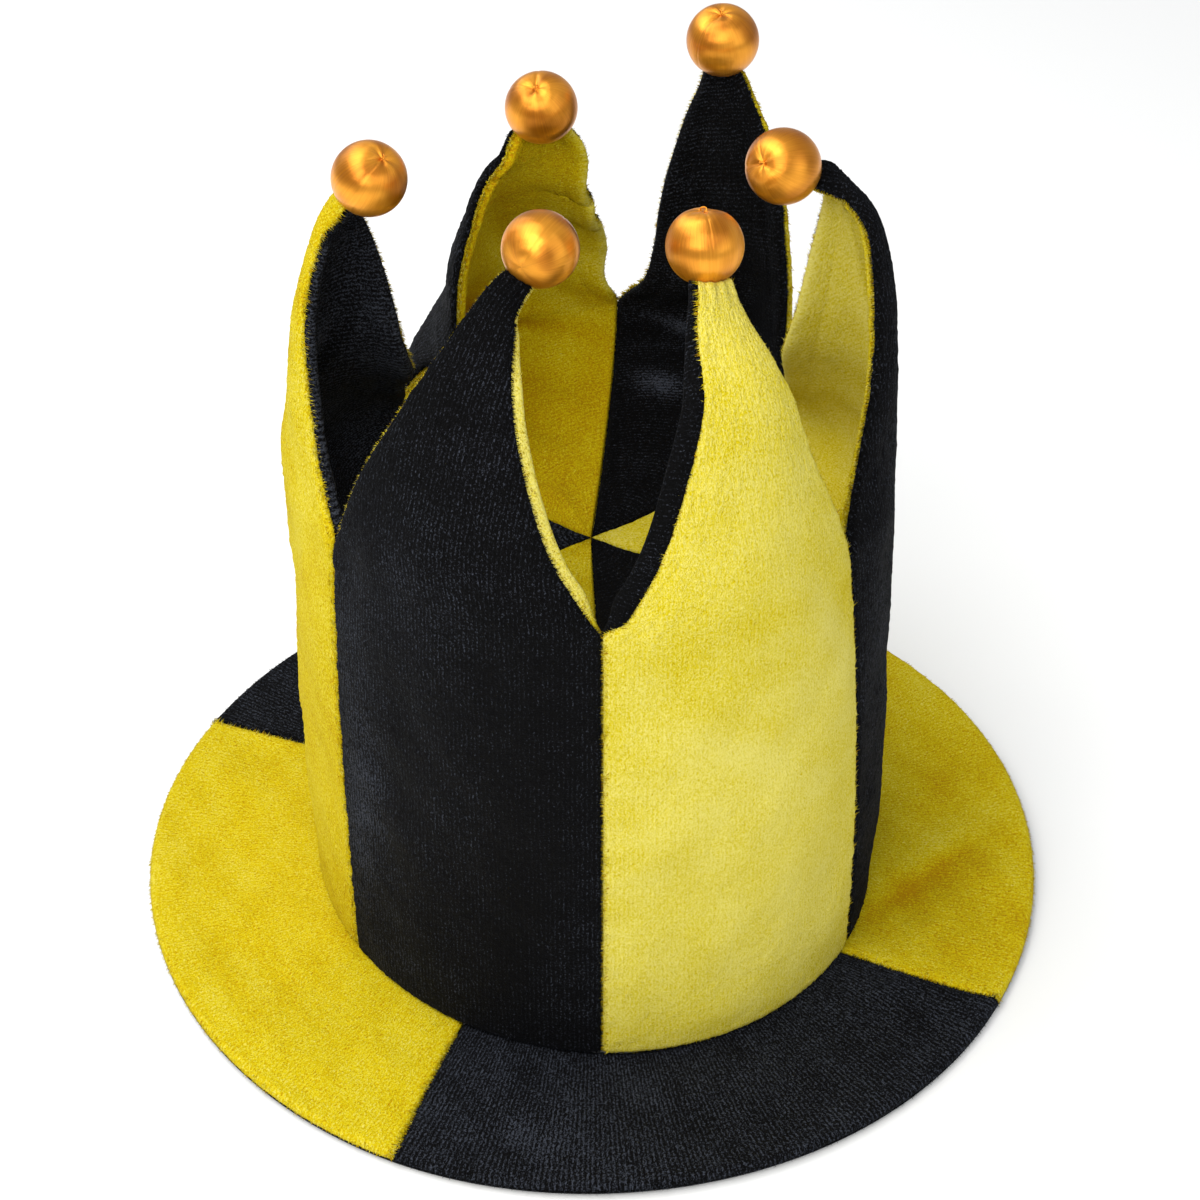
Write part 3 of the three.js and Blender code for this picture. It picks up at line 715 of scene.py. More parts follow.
EASED_EDGES = (
    # place, side of the point, up, half height, how far the cloth's edge is eased out, in mm
    ("back_left", -1, 1.16, 0.16, 1.2),
    ("left", 1, 1.12, 0.14, -3.0),
    ("left", -1, 1.4, 0.25, 1.5),
    ("front_left", -1, 1.35, 0.25, 1.5),
    ("back_left", -1, 1.61, 0.12, 2.0),
)
CROWN_DENTS = (
    # place, across, up, half length and half width in mm, lean in degrees, depth in mm
    ("front_right", 0.05, 0.72, 34, 8, -38, 0.9),
    ("front_right", 0.7, 0.93, 30, 9, -62, 1.1),
    ("front_left", -0.5, 0.55, 40, 12, 75, 0.9),
    ("front_left", 0.3, 0.3, 40, 10, 84, 0.6),
    ("left", 0.3, 0.8, 34, 9, 60, 0.9),
    ("right", -0.4, 0.7, 40, 10, -70, 0.9),
    ("back_left", 0.2, 0.6, 40, 10, 62, 1.1),
    ("back_right", -0.3, 0.5, 40, 10, -66, 1.1),
)
LINING_DENTS = (
    # place, across, run, half length and half width in mm, lean in degrees, depth in mm
    ("back_left", 0.1, 1.02, 40, 8, 42, -2.4),
    ("back_left", -0.3, 1.3, 34, 7, 55, -1.2),
    ("back_right", 0.1, 1.0, 30, 9, -40, 3.0),
    ("back_right", 0.25, 0.8, 26, 7, -25, -2.6),
    ("back_right", -0.2, 1.15, 30, 7, -52, -1.6),
    ("left", 0.1, 1.2, 36, 6, -48, -1.6),
    ("left", 0.3, 1.02, 36, 6, -40, -1.8),
    ("right", -0.2, 1.3, 34, 7, 60, -1.2),
    ("front_left", 0.4, 0.8, 24, 7, 20, -1.2),
    ("front_right", -0.4, 0.8, 24, 7, -20, -1.2),
)
PANEL_NAP_AND_LIGHT = {
    # how pale each panel's nap lies towards the front; the levels also hold painted light and sheen, and
    # the front right panel's high level is painted sheen and light
    "front_left": 0.26,
    "front_right": 0.74,
    "right": 0.27,
    "back_right": 0.58,
    "back_left": 0.32,
    "left": 0.4,
}
# How pale each gore's nap lies; the high levels on the right and left gores are painted light in linings
# that the points shade.
LINING_NAP_AND_LIGHT = {
    "front_left": 0.5,
    "front_right": 0.3,
    "right": 0.7,
    "back_right": 0.32,
    "back_left": 0.36,
    "left": 0.62,
}
NAP_ON_EDGES = {"black": -0.05, "yellow": 0.4}
PAINTED_LIGHT_ON_FLANKS = 0.3  # painted light on one flank of each fold and painted shade on the other, per mm that the cloth rises over a tenth of the panel's half width
PAINTED_LIGHT_PATCHES = (
    # place, across, up over both crown and point, half width, half height, how much lighter, as painted
    # light (painted shade where negative)
    ("front_right", 0.1, 0.5, 0.6, 0.35, 0.1),
    ("front_right", -0.3, 1.0, 0.5, 0.2, -0.08),
    ("front_left", -0.8, 0.6, 0.25, 0.5, 0.26),
    ("front_left", -0.3, 1.1, 0.35, 0.25, 0.1),
    ("front_left", 0.5, 0.7, 0.35, 0.6, -0.12),
    ("left", 0.6, 1.3, 0.5, 0.5, 0.12),
)
LINING_PAINTED_LIGHT_PATCHES = (
    # place, across, run, half width, half height, how much lighter, as painted light and sheen on the
    # folds (painted shade where negative)
    ("back_right", 0.3, 0.95, 0.4, 0.06, 0.75),
    ("back_right", 0.5, 0.6, 0.3, 0.06, 0.6),
    ("back_left", 0.15, 0.95, 0.35, 0.22, -0.16),
    ("back_left", -0.6, 1.35, 0.35, 0.4, 0.12),
    ("back_left", -0.5, 0.74, 0.3, 0.1, 0.1),
    ("left", 0.0, 1.15, 0.5, 0.12, 0.25),
    ("left", 0.3, 1.45, 0.5, 0.1, 0.2),
)
COLUMN_NAMES = ("rise", "inward", "side", "width", "curl", "turn")


def rows_for(place, table):
    """A table's rows for one place, as numbers without the place's name."""
    return np.array([row[1:] for row in table if row[0] == place]).reshape(-1, len(table[0]) - 1)


panels = {}
for number, (place, (colour, lining, lean, sections)) in enumerate(PANELS.items()):
    start, end = SEAMS[number], SEAMS[(number + 1) % len(SEAMS)]
    span = (end[0] - start[0]) % 360
    panels[place] = {
        "place": place,
        "colour": colour,
        "lining": lining,
        "lean": lean,
        "start": start,
        "end": end,
        "span": span,
        "azimuth": start[0] + span / 2,
        "sections": dict(zip(COLUMN_NAMES, np.array(sections, float).T)),
        "folds": rows_for(place, FOLDS),
        "eased": rows_for(place, EASED_EDGES),
        "dents": rows_for(place, CROWN_DENTS),
        "lining_dents": rows_for(place, LINING_DENTS),
        "edges": EDGES[place],
        "light_patches": rows_for(place, PAINTED_LIGHT_PATCHES),
        "lining_light_patches": rows_for(place, LINING_PAINTED_LIGHT_PATCHES),
    }


def glide(values, share, level_start):
    """A cubic through values at even steps of the share: its slope at each is half the difference of
    the two beside it, and level at the first where asked."""
    slopes = np.gradient(values)
    if level_start:
        slopes[0] = 0
    last = len(values) - 1
    place = np.clip(share, 0, 1) * last
    low = np.minimum(place.astype(int), last - 1)
    u = place - low
    return (
        (2 * u**3 - 3 * u**2 + 1) * values[low]
        + (u**3 - 2 * u**2 + u) * slopes[low]
        + (3 * u**2 - 2 * u**3) * values[low + 1]
        + (u**3 - u**2) * slopes[low + 1]
    )


def raised(level, height):
    """Level vectors with a height put in as their third part."""
    return level + height[..., None] * np.array([0, 0, 1])


def notch_height(panel, across):
    """Height of the notch line, straight from one seam's notch to the other's."""
    start, end = panel["start"][1], panel["end"][1]
    return NOTCH_HEIGHT * (start + (end - start) * (across + 1) / 2)


def crown_point(panel, across, up):
    """The crown's outside: its oval, swollen halfway up by a sine, less the pull of the nearer seam,
    which grows with the squares of across and up, and less the panel's own lean."""
    azimuth = panel["azimuth"] + panel["span"] / 2 * across
    seam_pull = np.where(across < 0, panel["start"][2], panel["end"][2])
    pull = CROWN_RADIUS * seam_pull * across**2 * up**2
    lean = CROWN_RADIUS * panel["lean"] * (1 - across**2) * up**3
    radius = crown_radius(azimuth) + CROWN_SWELL * np.sin(np.pi * up) - pull - lean
    height = CROWN_BASE + (notch_height(panel, across) - CROWN_BASE) * up
    return raised(outwards(azimuth) * radius[..., None], height)


def middle_line(panel, up):
    """The middle line of a point: in, sideways and up from the notch line by the table's columns."""
    sections = panel["sections"]
    inward = CROWN_RADIUS * glide(sections["inward"], up, True)
    side = CROWN_RADIUS * glide(sections["side"], up, True)
    rise = POINT_RISE * glide(sections["rise"], up, False)
    azimuth = np.array(panel["azimuth"])
    level = outwards(azimuth) * (crown_radius(azimuth) - inward)[..., None]
    level = level + outwards(azimuth + 90) * side[..., None]
    return raised(level, notch_height(panel, 0) + rise)


def section_frame(panel, up):
    """A point's middle, the way along it, and the ways sideways and inwards in its section. The way
    along goes from straight up at the notch line to the middle line's own slope by halfway."""
    middle = middle_line(panel, up)
    ahead = middle_line(panel, np.minimum(up + SMALL_STEP, 1))
    behind = middle_line(panel, np.maximum(up - SMALL_STEP, 0))
    settle = smooth(up, 0, SECTION_SETTLES)[..., None]
    along = unit((1 - settle) * np.array([0, 0, 1]) + settle * unit(ahead - behind))
    inward = -outwards(np.array(panel["azimuth"])) + 0 * along
    inward = unit(inward - along * (inward * along).sum(-1, keepdims=True))
    side = np.cross(inward, along)
    turn = np.radians(glide(panel["sections"]["turn"], up, True))[..., None]
    turned_side = side * np.cos(turn) + inward * np.sin(turn)
    turned_inward = inward * np.cos(turn) - side * np.sin(turn)
    return middle, along, turned_side, turned_inward


def leaf_point(panel, across, up):
    """A point's outside: arcs bent round the inward way, which near the notch line give way to the
    crown's own outline."""
    half_span = np.radians(panel["span"] / 2)
    radius = crown_radius(np.array(panel["azimuth"]))
    middle, along, side, inward = section_frame(panel, up)
    half_width = radius * half_span * glide(panel["sections"]["width"], up, False)
    half_angle = half_span * glide(panel["sections"]["curl"], up, False)
    bend = half_width / half_angle
    angle = half_angle * across
    on_arc = middle + side * (bend * np.sin(angle))[..., None]
    on_arc = on_arc + inward * (bend * (1 - np.cos(angle)))[..., None]
    azimuth = panel["azimuth"] + panel["span"] / 2 * across
    on_circle = raised(outwards(azimuth) * radius, notch_height(panel, 0) + 0 * across)
    at_notch = crown_point(panel, across, np.ones_like(across))
    return on_arc + (at_notch - on_circle) * ((1 - up) ** 2)[..., None]


def smooth_point(panel, across, up):
    """The outside of a panel: the crown for up from 0 to 1, and the point for up from 1 to 2."""
    on_crown = crown_point(panel, across, np.minimum(up, 1))
    on_leaf = leaf_point(panel, across, np.maximum(up - 1, 0))
    return np.where((up <= 1)[..., None], on_crown, on_leaf)


def surface_frame(panel, across, up):
    """The ways sideways and inwards at a panel's outside, by small steps on it. Inwards is level up to
    the notch line, square to the cloth above it, and in the tip's own section at the tip."""
    right, left = np.minimum(across + SMALL_STEP, 1), np.maximum(across - SMALL_STEP, -1)
    high, low = np.minimum(up + SMALL_STEP, 2), np.maximum(up - SMALL_STEP, 0)
    side = unit(smooth_point(panel, right, up) - smooth_point(panel, left, up))
    rise = unit(smooth_point(panel, across, high) - smooth_point(panel, across, low))
    square = unit(np.cross(rise, side))
    along = section_frame(panel, np.maximum(up - 1, 0))[1]
    at_tip = unit(square - along * (square * along).sum(-1, keepdims=True))
    level = -outwards(panel["azimuth"] + panel["span"] / 2 * across)
    off_crown = smooth(up, 1, 1 + THICKNESS_SETTLES)[..., None]
    by_tip = smooth(up, 1 + TIP_STARTS, 2)[..., None]
    inward = level * (1 - off_crown) + square * off_crown
    return side, unit(inward * (1 - by_tip) + at_tip * by_tip)


def fold_depth(panel, across, up):
    """How far the folds press the cloth in: a sum of long smooth hollows."""
    across, up = across[..., None], up[..., None]
    fold_across, fold_up, long, wide, lean, depth = panel["folds"].T
    x = (across - fold_across) * np.radians(panel["span"] / 2) * CROWN_RADIUS * MEAN_WIDTH
    y = (up - fold_up) * POINT_RISE
    lean = np.radians(lean)
    length = (x * np.cos(lean) + y * np.sin(lean)) / (long * CROWN_RADIUS)
    width = (y * np.cos(lean) - x * np.sin(lean)) / (wide * CROWN_RADIUS)
    return (depth * CROWN_RADIUS * np.exp(-(length**2) - width**2)).sum(-1)


def eased_out(panel, across, up):
    """How far a point's edges are eased out sideways: smooth humps along each edge, which fade towards
    the point's middle and towards the notch line."""
    out = 0 * across
    for edge, at, high, amount in panel["eased"]:
        near = smooth(edge * across, -0.1, 1)
        out = out + edge * amount * near * np.exp(-(((up - at) / high) ** 2)) * smooth(up, 1, 1.06)
    return out


def pressed_in(dents, across, up):
    """How far a table's dents press the cloth in, in mm: long smooth hollows, or ridges if negative."""
    pressed = 0 * across
    for dent_across, dent_up, long, wide, lean, depth in dents:
        x = (across - dent_across) * DENT_HALF_WIDTH
        y = np.minimum(up, 1) * NOTCH_HEIGHT + np.maximum(up - 1, 0) * POINT_LENGTH
        y = y - (min(dent_up, 1) * NOTCH_HEIGHT + max(dent_up - 1, 0) * POINT_LENGTH)
        lean = np.radians(lean)
        length = (x * np.cos(lean) + y * np.sin(lean)) / long
        width = (y * np.cos(lean) - x * np.sin(lean)) / wide
        pressed = pressed + depth * np.exp(-(length**2) - width**2)
    return pressed


def lining_dent(panel, across, run):
    """The lining's own folds, which die out at its seams."""
    return pressed_in(panel["lining_dents"], across, run) * (1 - across**2)


def edge_band(panel, across, up):
    """How far in the lining's edge lies on a point's outside, on the side that across is on, less by
    the tip, and how far it stands out past it."""
    first_band, first_proud, second_band, second_proud = panel["edges"]
    band = np.where(across < 0, first_band, second_band) * (1 - 0.9 * smooth(up, *BAND_FADES))
    return band, np.where(across < 0, first_proud, second_proud) * smooth(up, 1, PROUD_FULL)


def cloth_point(panel, across, up, depth, spread=0.0):
    """A point at a depth under a panel's outside, folds included, half a clearance back from its seams.
    spread moves its edges out sideways."""
    side, inward = surface_frame(panel, across, up)
    fold = fold_depth(panel, across, up - 1) * smooth(up, 1, 1 + FOLDS_SETTLE)
    sideways = across * (spread - CLEARANCE / 2) + eased_out(panel, across, up)
    sunk = smooth_point(panel, across, up) + inward * (depth + fold)[..., None]
    return sunk + side * sideways[..., None]


def ball_seat(panel):
    """The middle of the ball on a point's tip, and the way the tip points."""
    middle, along, side, inward = section_frame(panel, np.array(1.0))
    return middle + inward * LINING_INSIDE / 2 + along * (BALL_RADIUS + CLEARANCE), along


def gathered(panel, cloth, from_tip):
    """Cloth with its end drawn up round the foot of the ball: each column is moved along the tip until
    its end is pressed TIP_SINKS into the ball's round, less and less down to TIP_GATHER below."""
    centre, along = ball_seat(panel)
    away = centre - cloth[-1]
    ahead = away @ along
    aside = (away**2).sum(-1) - ahead**2
    foot = np.sqrt(np.maximum((BALL_RADIUS - TIP_SINKS) ** 2 - aside, (0.75 * BALL_RADIUS) ** 2))
    return cloth + along * ((ahead - foot) * smooth(from_tip, TIP_GATHER, 0))[..., None]


def edge_gap(panel, across, up):
    """The distance from a panel's nearer side edge, and half the panel's width, at a height."""
    half_width = crown_radius(np.array(panel["azimuth"])) * np.radians(panel["span"] / 2)
    half_width = half_width * glide(panel["sections"]["width"], np.maximum(up - 1, 0), False)
    return (1 - np.abs(across)) * half_width, half_width


def nap_and_light_of(across, up, points, level, dents, light_patches):
    """How light the nap lies, painted light and shade included: a level, long and short swells, painted
    light on one flank of each fold and painted shade on the other, and the panel's patches of painted
    light and shade."""
    value = level + 0.05 * swells(points, 70, 51) + 0.04 * swells(points, 18, 52)
    ahead, behind = pressed_in(dents, across + FLANK_STEP, up), pressed_in(dents, across - FLANK_STEP, up)
    # Painted light on one flank of each dent and painted shade on the other.
    value = value + PAINTED_LIGHT_ON_FLANKS * (ahead - behind)
    # The patches are painted light and shade.
    for patch_across, patch_up, wide, high, lighter in light_patches:
        near = ((across - patch_across) / wide) ** 2 + ((up - patch_up) / high) ** 2
        value = value + lighter * np.exp(-near)
    return value


share = np.linspace(-1, 1, PANEL_COLUMNS + 1)
columns = 0.55 * share + 0.45 * np.sin(np.pi / 2 * share)
on_point = 1 + np.arange(1, POINT_ROWS + 1) / POINT_ROWS
heights = np.concatenate([np.linspace(0, 1, CROWN_ROWS + 1), on_point])
coarse = np.s_[::COARSE, ::COARSE]
for number, panel in enumerate(panels.values()):
    rng = np.random.default_rng(200 + number)
    up, share = np.meshgrid(heights, columns, indexing="ij")
    half_width = edge_gap(panel, share, up)[1]
    squeeze = np.clip(half_width / NARROW_HALF, 0, 1)
    band = edge_band(panel, share, up)[0] * smooth(up, 1, EDGE_FREE) * squeeze
    across = share * (1 - band * np.abs(share) / half_width)
    gap = (1 - np.abs(share)) * half_width
    plain = smooth_point(panel, across, up)
    roll = np.minimum(SEAM_ROLL, 0.6 * half_width)
    from_foot = np.minimum(up, 1) * NOTCH_HEIGHT
    from_tip = (2 - up) * POINT_LENGTH
    depth = roll_off(gap, roll, SEAM_DROP) + roll_off(from_foot, 3.0, 1.7) + roll_off(from_tip, 2.5, 1.2)
    away = smooth(gap, 0, 14) * smooth(from_foot, 0, 14) * smooth(from_tip, 4, 30)
    depth = depth + away * (0.75 * swells(plain, 62, 41) + 0.35 * swells(plain, 24, 42))
    depth = depth + 0.22 * swells(plain, 8, 43) * np.exp(-gap / 5) * smooth(from_tip, 4, 20)
    depth = depth + 0.35 * np.cos(3.5 * np.pi * across + number) * smooth(from_tip, 16, 3)
    depth = depth + pressed_in(panel["dents"], across, up) * away + rng.normal(0, LUMP, depth.shape)
    face = gathered(panel, cloth_point(panel, across, up, depth), from_tip)
    behind = across[coarse] * (1 - BACK_INSET / half_width[coarse])
    back = cloth_point(panel, behind, up[coarse], np.full(behind.shape, PANEL_THICKNESS))
    back = gathered(panel, back, from_tip[coarse])
    along = np.minimum(up, 1) * NOTCH_HEIGHT + np.maximum(up - 1, 0) * POINT_LENGTH
    lay = np.stack([across * half_width, along, gap], -1)
    nap_and_painted_light = nap_and_light_of(across, up, plain, PANEL_NAP_AND_LIGHT[panel["place"]], panel["dents"], panel["light_patches"])
    normals = grid_normals(face, False)
    longer = 1.3 if panel["colour"] == "yellow" else 0.9
    locks = [
        edge_locks(face, normals, np.s_[:, 0], np.s_[:, 3], 5, 1.5 * longer, 1.1, rng),
        edge_locks(face, normals, np.s_[:, -1], np.s_[:, -4], 5, 1.5 * longer, 1.1, rng),
        edge_locks(face, normals, np.s_[0, :], np.s_[2, :], 4, 1.4, 1.2, rng),
    ]
    cloth = [PLUSH[panel["colour"]], KNIT[panel["colour"]]]
    made = dressed(f"crown_plush_{panel['place']}", face, back, False, lay, nap_and_painted_light, locks, cloth, rng)
    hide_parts(f"crown_panel_{panel['place']}")


# Lining
# Six gores of the same plush in the other colour over thin wadding. Each backs a point, sewn to its
# edges so that it shows as a fuzzy band beside them, and runs down into the cup between the points.
CUP_DEPTH = 34
CUP_EYE_RADIUS = 0.4
GORE_COLUMNS = 96
CUP_ROWS = 76
GORE_POINT_ROWS = 84
EDGE_COLUMNS = 12
EDGE_ROLL = 2.6  # half width of the roll along a gore's free edge
SEWN_ROLL = 1.4  # the same where two gores are sewn together


def cup_point(panel, across, sink, depth):
    """The cup between the points: a quarter ellipse from the notch line, at a sink of 0, down and in to
    the eye, at 1. depth is measured from the panel's outside."""
    rim = cloth_point(panel, across, np.ones_like(across), depth)
    radius = np.hypot(rim[..., 0], rim[..., 1])
    bottom = NOTCH_HEIGHT - CUP_DEPTH - (LINING_INSIDE - depth)
    angle = sink * np.arccos(CUP_EYE_RADIUS / radius)
    seam = outwards(panel["azimuth"] + panel["span"] / 2 * across + 90)
    trim = seam * (-across * CLEARANCE / 2)[..., None]
    level = rim * np.array([1, 1, 0]) - trim
    height = rim[..., 2] + (bottom - rim[..., 2]) * np.sin(angle)
    return raised(level * np.cos(angle)[..., None] + trim, height)


def lining_point(panel, across, run, depth, spread):
    """A gore's cloth: the cup for a run from 0 at the eye to 1 at the notch line, the point from there
    to 2."""
    in_cup = cup_point(panel, across, 1 - np.minimum(run, 1), depth)
    on_point = cloth_point(panel, across, np.maximum(run, 1), depth, spread)
    return np.where((run < 1)[..., None], in_cup, on_point)


def gore_edge(turn, band, proud, free, squeeze):
    """The section of a gore's edge as a distance in from the panel's own edge and a depth. For turn
    from 0 to 0.7 it is a half ellipse from the lining's inside, round the edge, to its outside. Where
    the edge is free, that carries it to the panel's outside, and it lies there as far in as the band,
    then dips under the panel's edge. squeeze narrows it where the cloth is narrow."""
    angle = np.pi * np.minimum(turn / 0.7, 1)
    tail = np.clip((turn - 0.7) / 0.3, 0, 1)
    roll = SEWN_ROLL + (EDGE_ROLL - SEWN_ROLL) * free
    outer_roll = 0.3 + (np.minimum(EDGE_ROLL, band) - 0.3) * free
    full = np.minimum(band / EDGE_ROLL, 1) * free
    outside = LINING_OUTSIDE * (1 - full)
    depth = (LINING_INSIDE + outside) / 2 + (LINING_INSIDE - outside) / 2 * np.cos(angle)
    depth = depth + (LINING_OUTSIDE - outside) * tail**2
    reach = np.where(angle < np.pi / 2, roll, outer_roll)
    distance = reach * (1 - np.sin(angle)) - proud * np.sin(angle)
    distance = distance + (0.6 + (band + 0.4 - outer_roll) * free) * tail
    return distance * squeeze, depth


share = np.linspace(-1, 1, GORE_COLUMNS - 2 * EDGE_COLUMNS + 1)
inner_columns = 0.6 * share + 0.4 * np.sin(np.pi / 2 * share)
turns = np.arange(1, EDGE_COLUMNS + 1) / EDGE_COLUMNS
column_turn = np.concatenate([turns[::-1], 0 * share, turns])
column_share = np.concatenate([-1 + 0 * turns, inner_columns, 1 + 0 * turns])
on_point = 1 + np.arange(1, GORE_POINT_ROWS + 1) / GORE_POINT_ROWS
runs = np.concatenate([np.linspace(0, 1, CUP_ROWS + 1), on_point])
for number, panel in enumerate(panels.values()):
    rng = np.random.default_rng(300 + number)
    run, turn = np.meshgrid(runs, column_turn, indexing="ij")
    share = column_share + 0 * run
    half_width = edge_gap(panel, share, np.maximum(run, 1))[1]
    half_width = half_width * (np.sin(np.pi / 2 * np.minimum(run, 1)) + 0.01)
    free = smooth(run, 1, EDGE_FREE)
    band, proud = edge_band(panel, share, run)
    squeeze = np.clip(half_width / NARROW_HALF, 0, 1)
    distance, edge_depth = gore_edge(turn, band, proud, free, squeeze)
    joined = 1 - gore_edge(0.0, band, proud, free, squeeze)[0] / half_width
    at_edge = np.sign(share) * (1 - np.maximum(distance, 0) / half_width)
    across = np.where(turn > 0, at_edge, share * joined)
    spread = np.maximum(-distance, 0)
    gap = np.where(turn > 0, distance, (1 - np.abs(across)) * half_width)
    plain = lining_point(panel, across, run, np.full(run.shape, LINING_INSIDE), 0.0)
    from_tip = (2 - run) * POINT_LENGTH
    flat_part = turn == 0
    inner_face = smooth(gap, EDGE_ROLL, 16) * flat_part
    away = inner_face * smooth(from_tip, 4, 30)
    depth = edge_depth + 0.6 * inner_face
    depth = depth + away * (0.7 * swells(plain, 52, 61) + 0.4 * swells(plain, 21, 62))
    stitched = 0.5 * np.exp(-(((gap - 7.5) / 1.6) ** 2))
    depth = depth - stitched * free * flat_part * smooth(from_tip, 10, 30)
    by_edge = np.exp(-np.maximum(gap, 0) / 6)
    depth = depth + 0.15 * swells(plain, 9, 63) * by_edge * smooth(from_tip, 4, 20)
    depth = depth - roll_off(from_tip, 2.5, 1.4) * flat_part
    depth = depth + lining_dent(panel, across, run) + rng.normal(0, LUMP, depth.shape)
    face = gathered(panel, lining_point(panel, across, run, depth, spread), from_tip)
    inset = np.maximum(gap, 0) + ((band + 1.4) * free + 0.35 * EDGE_COLUMNS * (1 - turn)) * squeeze
    edge_behind = np.sign(share) * (1 - np.minimum(inset / half_width, 0.9))
    behind = np.where(turn > 0, edge_behind, across * 0.97)[coarse]
    back = lining_point(panel, behind, run[coarse], np.full(behind.shape, LINING_OUTSIDE), 0.0)
    back = gathered(panel, back, from_tip[coarse])
    sideways, along = across * half_width + np.sign(share) * 4 * turn, run * POINT_LENGTH
    lay = np.stack([0.97 * along + 0.26 * sideways, 0.97 * sideways - 0.26 * along, gap], -1)
    level = LINING_NAP_AND_LIGHT[panel["place"]]
    nap_and_painted_light = nap_and_light_of(across, run, plain, level, panel["lining_dents"], panel["lining_light_patches"])
    # Painted shade: the nap darkens down in the cup, towards its eye.
    nap_and_painted_light = nap_and_painted_light - 0.12 * (1 - smooth(run, 0.6, 1.4))
    nap_and_painted_light = nap_and_painted_light + NAP_ON_EDGES[panel["lining"]] * smooth(turn, 0, 0.3) * free * np.minimum(proud / 2, 1)
    normals = grid_normals(face, True)
    longer = 1.25 if panel["lining"] == "yellow" else 0.9
    locks = [
        edge_locks(face, normals, np.s_[:, 4], np.s_[:, 7], 5, 1.4 * longer, 0.8, rng),
        edge_locks(face, normals, np.s_[:, -5], np.s_[:, -8], 5, 1.4 * longer, 0.8, rng),
        edge_locks(face, normals, np.s_[CUP_ROWS:, 1], np.s_[CUP_ROWS:, 3], 4, 1.3 * longer, 0.9, rng),
        edge_locks(face, normals, np.s_[CUP_ROWS:, -2], np.s_[CUP_ROWS:, -4], 4, 1.3 * longer, 0.9, rng),
    ]
    cloth = [PLUSH[panel["lining"]], KNIT[panel["lining"]]]
    made = dressed(f"lining_plush_{panel['place']}", face, back, True, lay, nap_and_painted_light, locks, cloth, rng)
    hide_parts(f"lining_gore_{panel['place']}")


# Balls
# One light ball on each tip, wound from pole to pole with gold satin thread. Where the ends are drawn
# in, the thread sinks into a pinched hollow with a small loop left standing.
BALL_COLUMNS = 168
BALL_ROWS = 60
THREAD_COUNT = 84
PINCH_DEPTH = 1.2  # of the hollow where the thread's ends are drawn in
FAR_PINCH_DEPTH = 0.35  # of the one at the other pole
BALL_POLES = {
    # the way from a ball's middle to its pinched pole, and the pinch's azimuth about it in degrees
    "front_left": ((0.5, 0.87, 0.01), 0),
    "front_right": ((-0.05, 0.3, 0.95), 250),
    "right": ((-0.63, -0.62, 0.47), 200),
    "back_right": ((-0.08, -0.17, 0.98), 120),
    "back_left": ((-0.15, -0.44, 0.88), 60),
    "left": ((0.45, -0.3, 0.84), 160),
}


def satin_thread():
    """Rayon satin thread: fine bright strands side by side, wound tight from pole to pole, so its gloss
    spreads across them in bands. Its strands are 0.2 mm, drawn twice as coarse to show."""
    material = bpy.data.materials.new("gold_satin_thread")
    material.use_nodes = True
    tree = material.node_tree
    tree.nodes.clear()
    wound = add_node(tree, "ShaderNodeAttribute", attribute_name="wound").outputs["Vector"]
    strand_scale = add_node(tree, "ShaderNodeMapping", {"Vector": wound, "Scale": (26, 26, 0.8)})
    strands = add_node(
        tree,
        "ShaderNodeTexNoise",
        {"Vector": strand_scale.outputs[0], "Scale": 1, "Detail": 3, "Roughness": 0.65},
    ).outputs[0]
    # Painted reflection: large soft blotches shift the thread between its deep and pale colours, standing
    # in for the dark and bright parts of the room that its gloss would mirror.
    painted_reflection_scale = add_node(tree, "ShaderNodeMapping", {"Vector": wound, "Scale": (0.8, 0.8, 1.1)})
    painted_reflection = add_node(
        tree, "ShaderNodeTexNoise", {"Vector": painted_reflection_scale.outputs[0], "Scale": 1, "Detail": 1}
    ).outputs[0]
    bright = add_node(
        tree,
        "ShaderNodeMapRange",
        {"Value": painted_reflection, "From Min": 0.3, "From Max": 0.62},
        interpolation_type="SMOOTHSTEP",
    ).outputs[0]
    deep = add_node(
        tree, "ShaderNodeMix", {0: strands, 6: linear("#94500A"), 7: linear("#D6861C")}, data_type="RGBA"
    ).outputs[2]
    pale = add_node(
        tree, "ShaderNodeMix", {0: strands, 6: linear("#D68214"), 7: linear("#FFB23C")}, data_type="RGBA"
    ).outputs[2]
    shade = add_node(tree, "ShaderNodeMix", {0: bright, 6: deep, 7: pale}, data_type="RGBA").outputs[2]
    relief = add_node(tree, "ShaderNodeBump", {"Height": strands, "Strength": 0.5, "Distance": 0.18 * MM})
    around = add_node(tree, "ShaderNodeTangent", direction_type="UV_MAP", uv_map="wound_uv")
    surface = add_node(
        tree,
        "ShaderNodeBsdfPrincipled",
        {
            "Base Color": shade,
            "Normal": relief.outputs[0],
            "Tangent": around.outputs[0],
            "Metallic": 0.7,
            "Roughness": 0.3,
            "Anisotropic": 0.7,
        },
    )
    add_node(tree, "ShaderNodeOutputMaterial", {"Surface": surface.outputs[0]})
    return material


def thread_loop(radius, thick, turns=40, sides=8):
    """A small ring of thread: a tube of one thickness round a slightly bent circle."""
    a = np.arange(turns) * 2 * np.pi / turns
    b = np.arange(sides) * 2 * np.pi / sides
    rise = radius * (1 + np.sin(a)) * 0.8
    centre = np.stack([radius * np.cos(a), 0.25 * radius * np.sin(2 * a), rise], -1)
    ahead = unit(np.roll(centre, -1, 0) - np.roll(centre, 1, 0))
    side = unit(np.cross(ahead, [0, 1, 0.2]))
    other = np.cross(ahead, side)
    ring = side[:, None] * np.cos(b)[:, None] + other[:, None] * np.sin(b)[:, None]
    return (centre[:, None] + thick * ring).reshape(-1, 3), wrapped_quads(turns, sides)


